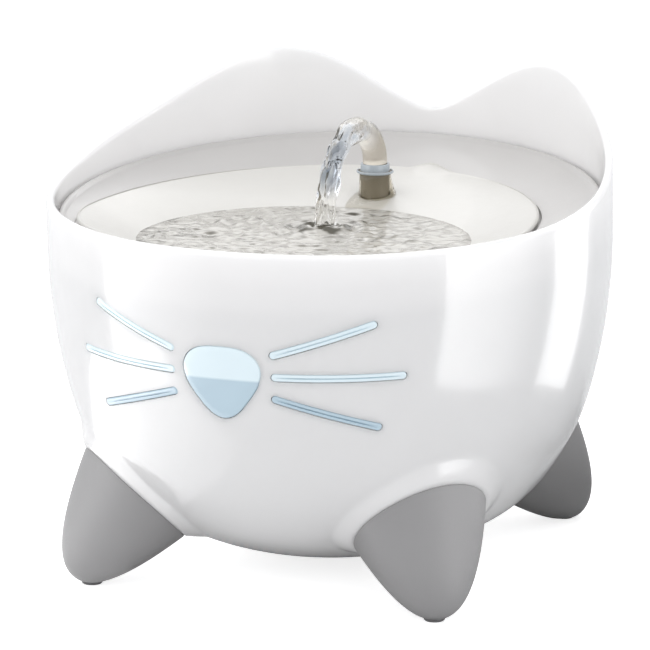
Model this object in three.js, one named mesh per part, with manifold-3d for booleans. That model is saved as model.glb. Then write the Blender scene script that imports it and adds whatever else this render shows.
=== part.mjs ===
import * as THREE from 'three';
import Module from 'manifold-3d';
import { mergeVertices } from 'three/addons/utils/BufferGeometryUtils.js';

// Pet water fountain. Millimetres, +Z up, the face with the windows looks toward -Y.
// The bowl, its windows and the tray lean a little toward the face. All else stands upright.

const wasm = await Module();
wasm.setup();

// Overall sizes
const bowlWidth = 248;
const bowlRadius = bowlWidth / 2;
const wallHeight = 200;
const earRise = 3.8;
const earHeight = wallHeight + earRise;
const lengthwiseStretch = 1.11;
const bowlLean = THREE.MathUtils.degToRad(4);
const wall = 3;
const lipRound = 2.2;
const fitGap = 0.3;
const runGap = 0.8;
const cutSpare = 1;
const baseHeight = 5.5;
const baseRoundOut = 3.2;

// Ledge and tray, hung from the lowest part of the rim
const lowestRimShare = 0.8376;
const ledgeDrop = 12.8;
const ledgeTop = lowestRimShare * earHeight - ledgeDrop;
const ledgeTall = 9.9;
const ledgeFoot = ledgeTop - ledgeTall;
const ledgeThick = 2.6;
const bandTopShare = 0.4;
const bandTop = ledgeFoot + bandTopShare * ledgeTall;
const wallByTray = 4.6;
const wallByEar = 2.7;
const wallAtTray = bowlRadius - wallByTray;
const wallAtEar = bowlRadius - wallByEar;
const trayEdgeRadius = wallAtTray - runGap;
const ledgeWide = 5.1;
const ledgeRadius = trayEdgeRadius - ledgeWide;
const trayTall = 4.3;
const trayEdgeHeight = ledgeTop + trayTall;
const trayThick = 2.6;
const trayBead = 1.2;
const trayStep = 4.2;
const trayStandOff = 1.2;
const slopeDrop = 2.2;
const trayHalfLong = lengthwiseStretch * trayEdgeRadius * Math.cos(bowlLean);
const trayShiftY = trayEdgeHeight * Math.sin(bowlLean);
const trayFrontY = -trayHalfLong - trayShiftY;
const trayBackY = trayHalfLong - trayShiftY;

// Drinking dish, placed inside the tray
const dishSideIn = 18.5;
const dishHalfWidth = trayEdgeRadius - dishSideIn;
const dishFrontIn = 10;
const dishFrontY = trayFrontY + dishFrontIn;
const dishBackIn = 33;
const dishBackY = trayBackY - dishBackIn;
const dishFront = 83;
const dishCentreY = dishFrontY + dishFront;
const dishBack = dishBackY - dishCentreY;
const dishLift = 2.6;
const dishEdgeHeight = ledgeTop + dishLift;
const dishThick = 3;
const poolSideIn = 27.3;
const poolHalfWidth = dishHalfWidth - poolSideIn;
const poolFrontIn = 17.4;
const poolFrontY = dishFrontY + poolFrontIn;
const poolBackIn = 56.5;
const poolBackY = dishBackY - poolBackIn;
const poolShift = 2.4;
const poolCentreY = dishCentreY + poolShift;
const poolFront = poolCentreY - poolFrontY;
const poolBack = poolBackY - poolCentreY;
const beachDrop = 9.6;
const poolHeight = dishEdgeHeight - beachDrop;
const poolDepth = 14;
const beachSlopeShare = 0.6;
const tabPlace = 14.4;
const tabHalfWidth = 13;
const tabRise = 3.1;
const tabFadeShare = 0.25;
const seatOuterShare = 0.08;
const seatInnerShare = 0.3;
const seatGap = 0.5;
const slotWidth = 3;
const slotFrontIn = 1.6;
const slotPastPool = 7.2;
const slotHeight = 3;
const slotPitch = 6;
const slotCount = 5;

// Spout and riser
const spoutIn = 40.3;
const spoutY = dishBackY - spoutIn;
const flangeLift = 5.2;
const flangeHeight = dishEdgeHeight + flangeLift;
const flangeRadius = 8.5;
const flangeThick = 1.2;
const upstandRadius = 6.7;
const upstandBore = 5.6;
const upstandTall = 3.2;
const upstandTop = flangeHeight + upstandTall;
const collarRadius = 10;
const collarDrop = 9.9;
const collarBottom = poolHeight - collarDrop;
const riserDrop = 2;
const riserTop = collarBottom - riserDrop;
const riserWall = 1.8;
const stemInRiser = 11;
const stemBottom = riserTop - stemInRiser;

// Water: the stream rises from the spout and falls to just above the pool
const streamRadius = 5.7;
const streamEndRadius = 3.75;
const streamRise = 24.4;
const streamReach = 65.4;
const streamGap = 0.5;
const streamFall = upstandTop - poolHeight - streamGap;
const poolRimShare = 1.03;

// Feet
const footTipPast = 6;
const footTipOut = bowlRadius + footTipPast;
const footTipHeight = 3.6;
const footOutFront = 1.2;
const footReach = 64;
const footHalfWide = 37.9;
const footSideShare = 0.92;
const footWall = 3;
const footFlat = 0.4;
const frontFootAngle = THREE.MathUtils.degToRad(41.5);
const rearFootAngle = THREE.MathUtils.degToRad(43.1);
const footHollowBegin = 4.2;
const footHollowIn = 0.9;
const collarWide = 6.5;
const collarLift = 1.8;
const collarBegin = 20;
const padRadius = 7;
const padThick = 2;
const footPadIn = 12;
const footScrewIn = 25;
const bossRadius = 5;
const bossBottom = 16;
const bossCup = 14;
const bossCupTop = bossBottom + bossCup;
const footPostRadius = 8.3;
const screwShank = 1.9;
const screwHead = 4;
const screwHeadThick = 2.5;
const screwGrip = 14;
const screwTop = bossBottom + screwGrip;

// Windows
const whiskerWidth = 3.5;
const noseDrop = 24.1;
const noseTop = ledgeTop - noseDrop;
const noseTall = 32.8;
const noseBottom = noseTop - noseTall;
const noseHalfWidth = 17.4;
const windowDepth = 20;
const whiskerArcSteps = 3;
const noseSteps = 28;

// Pump, under the spout
const pumpHalfWidth = 21;
const pumpHalfTall = 20;
const pumpLong = 61;
const pumpPastSpout = 10.3;
const pumpBack = spoutY + pumpPastSpout;
const pumpFront = pumpBack - pumpLong;
const pumpCorner = 4;
const coverThick = 3;
const chamberRadius = 16;
const chamberLong = 20;
const chamberStart = pumpBack - chamberLong;
const rotorRadius = 8.5;
const rotorFrontGap = 4;
const rotorFront = pumpFront + rotorFrontGap;
const rotorBackGap = 3;
const rotorBack = chamberStart - rotorBackGap;
const hubRadius = 4;
const hubLong = 5;
const bladeGap = 1.6;
const bladeRadius = chamberRadius - bladeGap;
const bladeStart = chamberStart + rotorBackGap - cutSpare;
const bladeThick = 1.6;
const bladeLong = 11;
const bladeCount = 6;
const shaftRadius = 1.5;
const shaftGap = 0.08;
const shaftInset = 1;
const shaftShort = 0.5;
const shaftEnd = pumpBack - shaftShort;
const spigotTall = 12;
const spigotBore = 5;
const railIn = 8.3;
const railTall = 2.5;
const railLip = 1.8;
const railThick = 1.4;
const sliderThick = 2;
const sliderLong = 17;
const intakeWidth = 3;
const intakeHalf = 6;
const intakePitch = 6;
const intakeCount = 5;
const postRadius = 6;
const cupTall = 6;
const cupNeck = 4;
const cupShares = [[1, 0], [1, 0.2], [0, 0.5], [0, 1]];
const postX = pumpHalfWidth - postRadius;
const postFrontIn = 8;
const postBackIn = 7;
const postClear = 3.3;

// Filter, under the front of the dish
const filterHalfWidth = 30;
const filterPastPool = 8.8;
const filterFrontY = poolFrontY - filterPastPool;
const filterLong = 58;
const filterBackY = filterFrontY + filterLong;
const filterDrop = 6.9;
const filterTop = poolHeight - poolDepth - dishThick - filterDrop;
const filterTall = 27;
const filterBottom = filterTop - filterTall;
const filterWall = 2;
const foamShare = 0.66;
const pegRadius = 4;
const pegOut = 5.5;
const pegX = filterHalfWidth + pegOut;
const pegY = (filterFrontY + filterBackY) / 2;
const pegLift = 6;
const pegBottom = filterBottom + pegLift;
const basketCorner = 8;
const basketSlotCount = 5;
const basketPitch = 9;

// Power inlet in the back wall
const inletDrop = 21.9;
const inletHeight = ledgeTop - inletDrop;
const inletPocket = 10;
const inletPocketDeep = 2.2;
const inletBossRadius = 12.5;
const inletBossDeep = 7;
const inletNeck = 6;
const inletNeckDeep = 16;
const socketThick = 2;
const nutRadius = 9;
const nutThick = 4;
const nutSideCount = 6;
const jackRadius = 3.3;
const jackWall = 6;

// Lead inside the bowl
const leadRadius = 1.7;
const leadSide = 22;
const leadSteps = 26;
const leadFacetCount = 6;
const clipAfterSteps = 5;
const clipHalf = 4;

// Facet and step counts
const roundSegments = 48;
const footSegments = 16;
const smallSegments = 12;
const streamSteps = 16;
const cornerSteps = 4;
const backBunchingShare = 0.4;
const searchSteps = 40;
const weldGap = 1e-4;

const TAU = 2 * Math.PI;
const mix = (a, b, t) => a + (b - a) * t;
const group = new THREE.Group();

function paint(color, roughness, metalness = 0, opacity = 1) {
  const transparent = opacity < 1;
  return new THREE.MeshStandardMaterial({ color, roughness, metalness, opacity, transparent });
}

const shellPaint = paint('#e9e9ea', 0.22);
const windowPaint = paint('#c4d6e2', 0.15);
const footPaint = paint('#8d8d8f', 0.6);
const padPaint = paint('#4c4d50', 0.85);
const trayPaint = paint('#c9c8c7', 0.35);
const dishPaint = paint('#f3f0ea', 0.2);
const spoutPaint = paint('#aeb7bf', 0.3);
const hosePaint = paint('#cfd3d5', 0.5);
const pumpPaint = paint('#3b3d40', 0.5);
const rotorPaint = paint('#ececec', 0.4);
const steelPaint = paint('#b9bcc0', 0.25, 1);
const cupPaint = paint('#2b2c2e', 0.8);
const filterPaint = paint('#dfe3e4', 0.4);
const foamPaint = paint('#3f4246', 0.95);
const leadPaint = paint('#2a2b2d', 0.6);
const waterPaint = paint('#dfeaf0', 0.05, 0, 0.35);

// A smooth curve through rows of place and value, level at both ends when asked
function through(rows, levelEnds = false) {
  const last = rows.length - 1;
  const chord = (i) => (rows[i + 1][1] - rows[i][1]) / (rows[i + 1][0] - rows[i][0]);
  const slopes = rows.map((row, i) => {
    if (i === 0) return levelEnds ? 0 : chord(0);
    if (i === last) return levelEnds ? 0 : chord(last - 1);
    const before = chord(i - 1);
    const after = chord(i);
    return before * after <= 0 ? 0 : (2 * before * after) / (before + after);
  });
  return (x) => {
    const place = Math.min(Math.max(x, rows[0][0]), rows[last][0]);
    let i = 0;
    while (i < last - 1 && place > rows[i + 1][0]) i += 1;
    const width = rows[i + 1][0] - rows[i][0];
    const t = (place - rows[i][0]) / width;
    const keep = (1 + 2 * t) * (1 - t) * (1 - t);
    const next = t * t * (3 - 2 * t);
    const leave = t * (1 - t) * (1 - t) * width;
    const arrive = t * t * (t - 1) * width;
    return keep * rows[i][1] + next * rows[i + 1][1] + leave * slopes[i] + arrive * slopes[i + 1];
  };
}

// Shares of wallHeight and bowlRadius along the outside of the bowl
const bowlShares = [
  [0.045, 0.316], [0.06, 0.36], [0.1, 0.509], [0.15, 0.651], [0.225, 0.795], [0.325, 0.89],
  [0.45, 0.948], [0.575, 0.983], [0.7, 0.9985], [0.85, 0.9995], [1.02, 1],
];
const bowlShare = through(bowlShares);
const bowlAt = (z) => bowlRadius * bowlShare(z / wallHeight);

// Shares of a half turn from the face, and of earHeight
const rimShares = [
  [0, 0.858], [0.222, 0.847], [0.389, lowestRimShare], [0.5, 0.847], [0.583, 0.872], [0.656, 0.907],
  [0.722, 0.953], [0.778, 0.989], [0.817, 1], [0.856, 0.987], [0.9, 0.949], [0.95, 0.892], [1, 0.854],
];
const rimShare = through(rimShares, true);
function rimAt(angle) {
  const turn = Math.abs(((angle / TAU + 0.5) % 1) - 0.5) * 2;
  return earHeight * rimShare(turn);
}

const lean = (x, y, z) => new THREE.Vector3(
  x,
  y * Math.cos(bowlLean) - z * Math.sin(bowlLean),
  y * Math.sin(bowlLean) + z * Math.cos(bowlLean),
);
const unlean = (p) => new THREE.Vector3(
  p.x,
  p.y * Math.cos(bowlLean) + p.z * Math.sin(bowlLean),
  p.z * Math.cos(bowlLean) - p.y * Math.sin(bowlLean),
);
const onBowl = (angle, radius, z) => lean(
  radius * Math.sin(angle),
  -lengthwiseStretch * radius * Math.cos(angle),
  z,
);

// Closed solid from rings of points, each a function of the angle; a ring given as a point is a pole
function ringSolid(rings, segments = roundSegments, angles = (i) => (TAU * i) / segments) {
  const positions = [];
  const indices = [];
  const starts = [];
  rings.forEach((ring) => {
    starts.push(positions.length / 3);
    if (ring.isVector3) {
      positions.push(ring.x, ring.y, ring.z);
      return;
    }
    for (let i = 0; i < segments; i += 1) {
      const p = ring(angles(i));
      positions.push(p.x, p.y, p.z);
    }
  });
  const closes = !rings[0].isVector3;
  const bands = closes ? rings.length : rings.length - 1;
  for (let r = 0; r < bands; r += 1) {
    const a = r;
    const b = (r + 1) % rings.length;
    for (let i = 0; i < segments; i += 1) {
      const j = (i + 1) % segments;
      if (rings[a].isVector3) {
        indices.push(starts[a], starts[b] + j, starts[b] + i);
      } else if (rings[b].isVector3) {
        indices.push(starts[a] + i, starts[a] + j, starts[b]);
      } else {
        indices.push(starts[a] + i, starts[a] + j, starts[b] + i);
        indices.push(starts[a] + j, starts[b] + j, starts[b] + i);
      }
    }
  }
  const geometry = new THREE.BufferGeometry();
  geometry.setAttribute('position', new THREE.Float32BufferAttribute(positions, 3));
  geometry.setIndex(indices);
  return geometry;
}

function solid(geometry) {
  const bare = geometry.clone();
  bare.deleteAttribute('normal');
  bare.deleteAttribute('uv');
  const merged = mergeVertices(bare, weldGap);
  const vertProperties = new Float32Array(merged.attributes.position.array);
  const triVerts = new Uint32Array(merged.index.array);
  const made = new wasm.Manifold(new wasm.Mesh({ numProp: 3, vertProperties, triVerts }));
  if (made.volume() < 0) throw new Error('a solid is inside out');
  return made;
}

function geometryOf(made) {
  const mesh = made.getMesh();
  const geometry = new THREE.BufferGeometry();
  geometry.setAttribute('position', new THREE.Float32BufferAttribute(mesh.vertProperties, 3));
  geometry.setIndex(Array.from(mesh.triVerts));
  return geometry;
}

function add(name, shape, material) {
  const geometry = shape.isBufferGeometry ? shape : geometryOf(shape);
  const mesh = new THREE.Mesh(geometry, material);
  mesh.name = name;
  group.add(mesh);
}

const union = (...shapes) => shapes.reduce((sum, next) => sum.add(next));
const placed = (geometry, x, y, z) => solid(geometry.clone().translate(x, y, z));

// Upright cylinder between two heights
function post(radius, bottom, top, x, y, segments = smallSegments) {
  const geometry = new THREE.CylinderGeometry(radius, radius, top - bottom, segments);
  geometry.rotateX(Math.PI / 2);
  return placed(geometry, x, y, (bottom + top) / 2);
}

// Cylinder along Y between two places
function barrel(radius, from, to, x, z, segments = smallSegments) {
  const geometry = new THREE.CylinderGeometry(radius, radius, to - from, segments);
  return placed(geometry, x, (from + to) / 2, z);
}

function block(x1, x2, y1, y2, z1, z2) {
  const geometry = new THREE.BoxGeometry(x2 - x1, y2 - y1, z2 - z1);
  return placed(geometry, (x1 + x2) / 2, (y1 + y2) / 2, (z1 + z2) / 2);
}

// Box with rounded upright corners
function roundedBlock(x1, x2, y1, y2, z1, z2, corner) {
  const shape = new THREE.Shape();
  shape.moveTo(x1 + corner, y1);
  shape.lineTo(x2 - corner, y1);
  shape.absarc(x2 - corner, y1 + corner, corner, -Math.PI / 2, 0);
  shape.absarc(x2 - corner, y2 - corner, corner, 0, Math.PI / 2);
  shape.absarc(x1 + corner, y2 - corner, corner, Math.PI / 2, Math.PI);
  shape.absarc(x1 + corner, y1 + corner, corner, Math.PI, 1.5 * Math.PI);
  const options = { depth: z2 - z1, bevelEnabled: false, curveSegments: cornerSteps };
  const geometry = new THREE.ExtrudeGeometry(shape, options);
  return placed(geometry, 0, 0, z1);
}

// Outside of the bowl moved along its own normal by an offset, as rows of radius and height
function bowlRows(offset, heights) {
  return heights.map((z) => {
    const slope = (bowlAt(z + fitGap) - bowlAt(z - fitGap)) / (2 * fitGap);
    const length = Math.hypot(1, slope);
    return [bowlAt(z) + offset / length, z - (offset * slope) / length];
  });
}

const bandShares = [0.045, 0.07, 0.115, 0.185, 0.27, 0.38, 0.52, 0.65];
const bandHeights = bandShares.map((share) => share * wallHeight);
const baseRadius = bowlAt(bandHeights[0]) - baseRoundOut;
const rowRing = ([radius, z]) => (angle) => onBowl(angle, radius, z);

// The bowl as one closed wall: outside up, over the lip, inside down
const outerRows = [[baseRadius, baseHeight], ...bowlRows(0, bandHeights)];
const innerFloor = baseHeight + wall;
const innerRows = bowlRows(-wall, bandHeights.slice(1)).filter((row) => row[1] > innerFloor + cutSpare);
const wallUpShares = [0.5];
const earDraft = (wallAtEar - wallAtTray) / (earHeight - ledgeTop);
const innerAtHeight = (z) => wallAtTray + earDraft * (z - ledgeTop);
const nearLip = (angle) => rimAt(angle) - lipRound;
const outerUp = wallUpShares.map((share) => (angle) => {
  const z = mix(bandTop, nearLip(angle), share);
  return onBowl(angle, bowlAt(z), z);
});
// Rows from the outside over the lip to the inside: share across the wall and share of the lip's height
const lipShares = [[0, 0], [0.15, 0.7], [0.42, 1], [0.8, 0.85], [1, 0.3]];
const lipRings = lipShares.map(([across, up]) => (angle) => {
  const z = nearLip(angle) + lipRound * up;
  return onBowl(angle, mix(bowlAt(nearLip(angle)), innerAtHeight(nearLip(angle)), across), z);
});
const innerDown = [
  (angle) => onBowl(angle, wallAtTray, ledgeTop),
  (angle) => onBowl(angle, ledgeRadius, ledgeTop),
  (angle) => onBowl(angle, ledgeRadius, ledgeTop - ledgeThick),
  (angle) => onBowl(angle, bowlAt(ledgeFoot) - wall, ledgeFoot),
];
const shellRings = [
  lean(0, 0, baseHeight),
  ...outerRows.map(rowRing),
  (angle) => onBowl(angle, bowlAt(bandTop), bandTop),
  ...outerUp,
  ...lipRings,
  ...innerDown,
  ...innerRows.reverse().map(rowRing),
  rowRing([baseRadius - wall, innerFloor]),
  lean(0, 0, innerFloor),
];
const bowlWall = solid(ringSolid(shellRings));

// Filled copies of the bowl that trim whatever is joined to it
function filled(offset) {
  const rows = bowlRows(offset, bandHeights);
  return solid(ringSolid([
    lean(0, 0, baseHeight - offset),
    rowRing([baseRadius, baseHeight - offset]),
    ...rows.map(rowRing),
    rowRing([bowlAt(bandTop) + offset, bandTop]),
    lean(0, 0, bandTop),
  ]));
}
const midWall = filled(-wall / 2);
const collarSkin = filled(collarLift);
const footSkin = filled(collarLift + fitGap);

// Foot: a paraboloid whose axis slants out and down in an upright plane through the middle of the bowl
const feet = [
  { name: 'front_right', angle: frontFootAngle, out: footTipOut + footOutFront },
  { name: 'front_left', angle: -frontFootAngle, out: footTipOut + footOutFront },
  { name: 'rear_right', angle: Math.PI - rearFootAngle, out: footTipOut },
  { name: 'rear_left', angle: Math.PI + rearFootAngle, out: footTipOut },
];
const alongShares = [0.01, 0.05, 0.15, 0.34, 0.62, 1];
const hollowShares = [0.02, 0.3, 1];

function footShape(foot, begin, back, swell, segments, shares = alongShares) {
  const points = [new THREE.Vector2(0, begin)];
  shares.forEach((share) => {
    const along = mix(begin, footReach, share);
    points.push(new THREE.Vector2(footHalfWide * Math.sqrt((along - back) / footReach) + swell, along));
  });
  points.push(new THREE.Vector2(0, footReach));
  const geometry = new THREE.LatheGeometry(points, segments);
  geometry.scale(1, 1, footSideShare);
  const inward = new THREE.Vector3(-Math.SQRT1_2, 0, Math.SQRT1_2);
  const side = new THREE.Vector3(0, 1, 0);
  const across = new THREE.Vector3().crossVectors(inward, side);
  geometry.applyMatrix4(new THREE.Matrix4().makeBasis(across, inward, side));
  geometry.translate(foot.out, 0, footTipHeight);
  geometry.rotateZ(foot.angle - Math.PI / 2);
  return solid(geometry);
}

const bowlParts = [];
const footPieces = feet.map((foot) => {
  const placeAt = (back) => {
    const reach = foot.out - back;
    return [reach * Math.sin(foot.angle), -reach * Math.cos(foot.angle)];
  };
  const pad = placeAt(footPadIn);
  const [x, y] = placeAt(footScrewIn);
  const wideFoot = footShape(foot, collarBegin, 0, collarWide, footSegments, hollowShares);
  const collar = wideFoot.intersect(collarSkin);
  const boss = post(bossRadius, bossBottom, bandTop / 2, x, y);
  bowlParts.push(collar.add(boss).subtract(midWall));
  const body = footShape(foot, 0, 0, 0, footSegments);
  const hollowBack = footHollowBegin - fitGap;
  const hollow = footShape(foot, footHollowBegin, hollowBack, -footHollowIn, smallSegments, hollowShares);
  const column = post(footPostRadius, footWall, bossCupTop, x, y).intersect(body);
  const drills = union(
    post(bossRadius + fitGap, bossBottom - fitGap, bandTop / 2, x, y),
    post(screwShank + fitGap, -cutSpare, bossBottom, x, y, smallSegments / 2),
    post(screwHead + fitGap, -cutSpare, padThick + screwHeadThick + 3 * fitGap, x, y),
    post(padRadius + fitGap, -cutSpare, padThick + fitGap, ...pad, footSegments),
  );
  const under = block(-bowlWidth, bowlWidth, -bowlWidth, bowlWidth, -bowlWidth, footFlat);
  const made = body.subtract(hollow).add(column).subtract(drills).subtract(under).subtract(footSkin);
  const holeBottom = bossBottom - cutSpare;
  const screwHole = post(screwShank + fitGap, holeBottom, screwTop + fitGap, x, y, smallSegments / 2);
  return { name: foot.name, x, y, pad, made, screwHole };
});

// Window outlines. Whiskers run between two places, each a share of a half turn from the face
// and of the nose's height from its bottom
const whiskers = [
  { name: 'upper', shares: [[0.06, 0.912], [0.168, 1.287]] },
  { name: 'middle', shares: [[0.061, 0.61], [0.2, 0.564]] },
  { name: 'lower', shares: [[0.0605, 0.305], [0.1735, -0.128]] },
];
const noseShares = [
  [0, 1], [0.52, 0.975], [0.85, 0.87], [1, 0.7], [0.93, 0.5], [0.78, 0.36],
  [0.61, 0.235], [0.43, 0.12], [0.23, 0.035], [0, 0],
];

// Flat shape pushed through the wall along a level direction, in the upright frame of the bowl
function throughWall(shape, middle, turn) {
  const geometry = new THREE.ExtrudeGeometry(shape, { depth: 2 * windowDepth, bevelEnabled: false });
  geometry.translate(0, 0, -windowDepth);
  const tangent = new THREE.Vector3(Math.cos(turn), Math.sin(turn), 0);
  const up = new THREE.Vector3(0, 0, 1);
  const out = new THREE.Vector3(Math.sin(turn), -Math.cos(turn), 0);
  geometry.applyMatrix4(new THREE.Matrix4().makeBasis(tangent, up, out));
  geometry.translate(middle.x, middle.y, middle.z);
  geometry.rotateX(bowlLean);
  return solid(geometry);
}

function whiskerShape(whisker, side, spare) {
  const ends = whisker.shares.map(([turn, up]) => {
    const z = noseBottom + up * noseTall;
    return unlean(onBowl(Math.PI * turn * side, bowlAt(z), z));
  });
  const middle = ends[0].clone().add(ends[1]).divideScalar(2);
  const turn = Math.atan2(middle.x * lengthwiseStretch ** 2, -middle.y);
  const along = new THREE.Vector2(
    (ends[1].x - ends[0].x) * Math.cos(turn) + (ends[1].y - ends[0].y) * Math.sin(turn),
    ends[1].z - ends[0].z,
  );
  const half = along.length() / 2;
  const radius = whiskerWidth / 2 + spare;
  const tilt = Math.atan2(along.y, along.x);
  const shape = new THREE.Shape();
  const endX = half * Math.cos(tilt);
  const endZ = half * Math.sin(tilt);
  shape.absarc(endX, endZ, radius, tilt - Math.PI / 2, tilt + Math.PI / 2);
  shape.absarc(-endX, -endZ, radius, tilt + Math.PI / 2, tilt + 1.5 * Math.PI);
  const rounded = new THREE.Shape(shape.getPoints(whiskerArcSteps));
  return throughWall(rounded, middle, turn);
}

function noseShape(spare) {
  const halfWide = noseHalfWidth + spare;
  const tall = noseTall + 2 * spare;
  const right = noseShares.map(([x, z]) => [x * halfWide, z * tall - spare]);
  const left = right.slice(1, -1).reverse().map(([x, z]) => [-x, z]);
  const loop = [...right.reverse(), ...left.reverse()].map(([x, z]) => new THREE.Vector3(x, z, 0));
  const curve = new THREE.CatmullRomCurve3(loop, true, 'centripetal');
  const outline = curve.getPoints(noseSteps).slice(0, -1).map((p) => new THREE.Vector2(p.x, p.y));
  const middle = new THREE.Vector3(0, -lengthwiseStretch * bowlAt(noseBottom), noseBottom);
  return throughWall(new THREE.Shape(outline), middle, 0);
}

const windows = [{ name: 'nose_window', piece: noseShape(0), hole: noseShape(fitGap) }];
[[1, 'right'], [-1, 'left']].forEach(([side, sideName]) => {
  whiskers.forEach((whisker) => {
    windows.push({
      name: `whisker_window_${sideName}_${whisker.name}`,
      piece: whiskerShape(whisker, side, 0),
      hole: whiskerShape(whisker, side, fitGap),
    });
  });
});

// Power inlet in the back wall, made in the upright frame of the bowl and then leaned with it
function leanBarrel(radius, from, to, segments = smallSegments) {
  const geometry = new THREE.CylinderGeometry(radius, radius, to - from, segments);
  geometry.translate(0, (from + to) / 2, inletHeight);
  geometry.rotateX(bowlLean);
  return solid(geometry);
}
const backOut = lengthwiseStretch * bowlAt(inletHeight);
const pocketFloor = backOut - inletPocketDeep;
const inletBossIn = backOut - inletBossDeep;
const inletNeckEnd = backOut - inletNeckDeep;

// Height of the bowl's outside above a place on the ground, found by halving
function undersideAt(x, y) {
  let low = baseHeight;
  let high = wallHeight;
  for (let i = 0; i < searchSteps; i += 1) {
    const middle = (low + high) / 2;
    const p = unlean(new THREE.Vector3(x, y, middle));
    if (Math.hypot(p.x, p.y / lengthwiseStretch) < bowlAt(p.z)) high = middle;
    else low = middle;
  }
  return high;
}
const postTop = undersideAt(pumpHalfWidth, pumpBack - postBackIn + postRadius) + postClear;
const pumpBottom = postTop + cupTall;
const axisHeight = pumpBottom + pumpHalfTall;
const pumpTop = axisHeight + pumpHalfTall;
const spigotTop = pumpTop + spigotTall;

const pumpPosts = [];
[-postX, postX].forEach((x) => {
  [pumpFront + postFrontIn, pumpBack - postBackIn].forEach((y) => pumpPosts.push([x, y]));
});

let shell = bowlWall;
bowlParts.forEach((part) => {
  shell = shell.add(part);
});
pumpPosts.forEach(([x, y]) => {
  shell = shell.add(post(postRadius, 0, postTop, x, y).intersect(midWall));
});
shell = shell.add(leanBarrel(inletBossRadius, inletBossIn, backOut).intersect(midWall));
shell = shell.subtract(leanBarrel(inletPocket, pocketFloor, backOut + wall, footSegments));
shell = shell.subtract(leanBarrel(inletNeck + fitGap, inletBossIn - wall, backOut));
windows.forEach((pane) => {
  shell = shell.subtract(pane.hole);
});
footPieces.forEach((foot) => {
  shell = shell.subtract(foot.screwHole);
});
add('bowl_shell', shell, shellPaint);
windows.forEach((pane) => add(pane.name, bowlWall.intersect(pane.piece), windowPaint));
footPieces.forEach((foot) => {
  add(`foot_${foot.name}`, foot.made, footPaint);
  add(`foot_pad_${foot.name}`, post(padRadius, 0, padThick, ...foot.pad, footSegments), padPaint);
  const headBottom = padThick + 2 * fitGap;
  const head = post(screwHead, headBottom, headBottom + screwHeadThick, foot.x, foot.y);
  const shank = post(screwShank, headBottom + cutSpare, screwTop, foot.x, foot.y, smallSegments / 2);
  add(`foot_screw_${foot.name}`, head.add(shank), steelPaint);
});

// Dish surface: share 0 is its edge, 1 the water line, 2 the middle of the pool
function oval(halfWidth, front, back, centreY, t, grow = 0) {
  const length = Math.cos(t) > 0 ? front : back;
  return [(halfWidth + grow) * Math.sin(t), centreY - (length + grow) * Math.cos(t)];
}
const dishEdge = (t, grow) => oval(dishHalfWidth, dishFront, dishBack, dishCentreY, t, grow);
const poolEdge = (t) => oval(poolHalfWidth, poolFront, poolBack, poolCentreY, t);
const edgeDrop = dishEdgeHeight - poolHeight;
function dishHeight(share) {
  if (share <= 1) return dishEdgeHeight - edgeDrop * share * mix(beachSlopeShare, 1, share);
  const left = 2 - share;
  return poolHeight - poolDepth * (1 - left * left);
}
function tabAt(x, t) {
  const place = Math.abs(x - tabPlace) / tabHalfWidth;
  if (place >= 1 || Math.cos(t) > 0) return 0;
  return tabRise * Math.cos((Math.PI / 2) * place) ** 2;
}
function dishPoint(t, share, lift = 0) {
  const edge = dishEdge(t, 0);
  const pool = poolEdge(t);
  const near = Math.min(share, 1);
  let x = mix(edge[0], pool[0], near);
  let y = mix(edge[1], pool[1], near);
  if (share > 1) {
    x = mix(pool[0], 0, share - 1);
    y = mix(pool[1], poolCentreY, share - 1);
  }
  const tab = tabAt(edge[0], t) * Math.max(0, 1 - share / tabFadeShare) ** 2;
  return new THREE.Vector3(x, y, dishHeight(share) + tab + lift);
}
const edgePoint = (t, grow, lift) => {
  const [x, y] = dishEdge(t, grow);
  return new THREE.Vector3(x, y, dishEdgeHeight + tabAt(x, t) + lift);
};
const denserBack = (i) => {
  const even = (TAU * i) / roundSegments;
  return even + backBunchingShare * Math.sin(even);
};
const topShares = [0.05, 0.2, 0.55, 1, 1.3, 1.65];
const underShares = [1.6, 1.2, 0.9, 0.45, 0.08];
const belowShares = [0.3, 0.9, 1.4];
// Rows round the dish's edge: growth and lift, both as shares of its thickness
const dishLipShares = [[-0.1, -1], [0, -0.75], [0, -0.35], [-0.15, -0.1], [-0.4, 0]];
const dishRings = [
  new THREE.Vector3(0, poolCentreY, dishHeight(2) - dishThick),
  ...underShares.map((share) => (t) => dishPoint(t, share, -dishThick)),
  ...dishLipShares.map(([grow, lift]) => (t) => edgePoint(t, grow * dishThick, lift * dishThick)),
  ...topShares.map((share) => (t) => dishPoint(t, share)),
  new THREE.Vector3(0, poolCentreY, dishHeight(2)),
];
let dish = solid(ringSolid(dishRings, roundSegments, denserBack));
const dishBelow = solid(ringSolid([
  new THREE.Vector3(0, poolCentreY, dishHeight(2) - 2 * dishEdgeHeight),
  (t) => dishPoint(t, belowShares[0], -2 * dishEdgeHeight),
  ...belowShares.map((share) => (t) => dishPoint(t, share, -dishThick / 2)),
  new THREE.Vector3(0, poolCentreY, dishHeight(2) - dishThick / 2),
], roundSegments, denserBack));
dish = dish.add(post(collarRadius, collarBottom, dishEdgeHeight, 0, spoutY).intersect(dishBelow));
[-pegX, pegX].forEach((x) => {
  dish = dish.add(post(pegRadius, pegBottom, dishEdgeHeight, x, pegY).intersect(dishBelow));
});
dish = dish.subtract(post(upstandRadius + fitGap, collarBottom - cutSpare, dishEdgeHeight, 0, spoutY));
const slotFrontY = dishFrontY + slotFrontIn;
const slotBackY = poolFrontY + slotPastPool;
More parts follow.
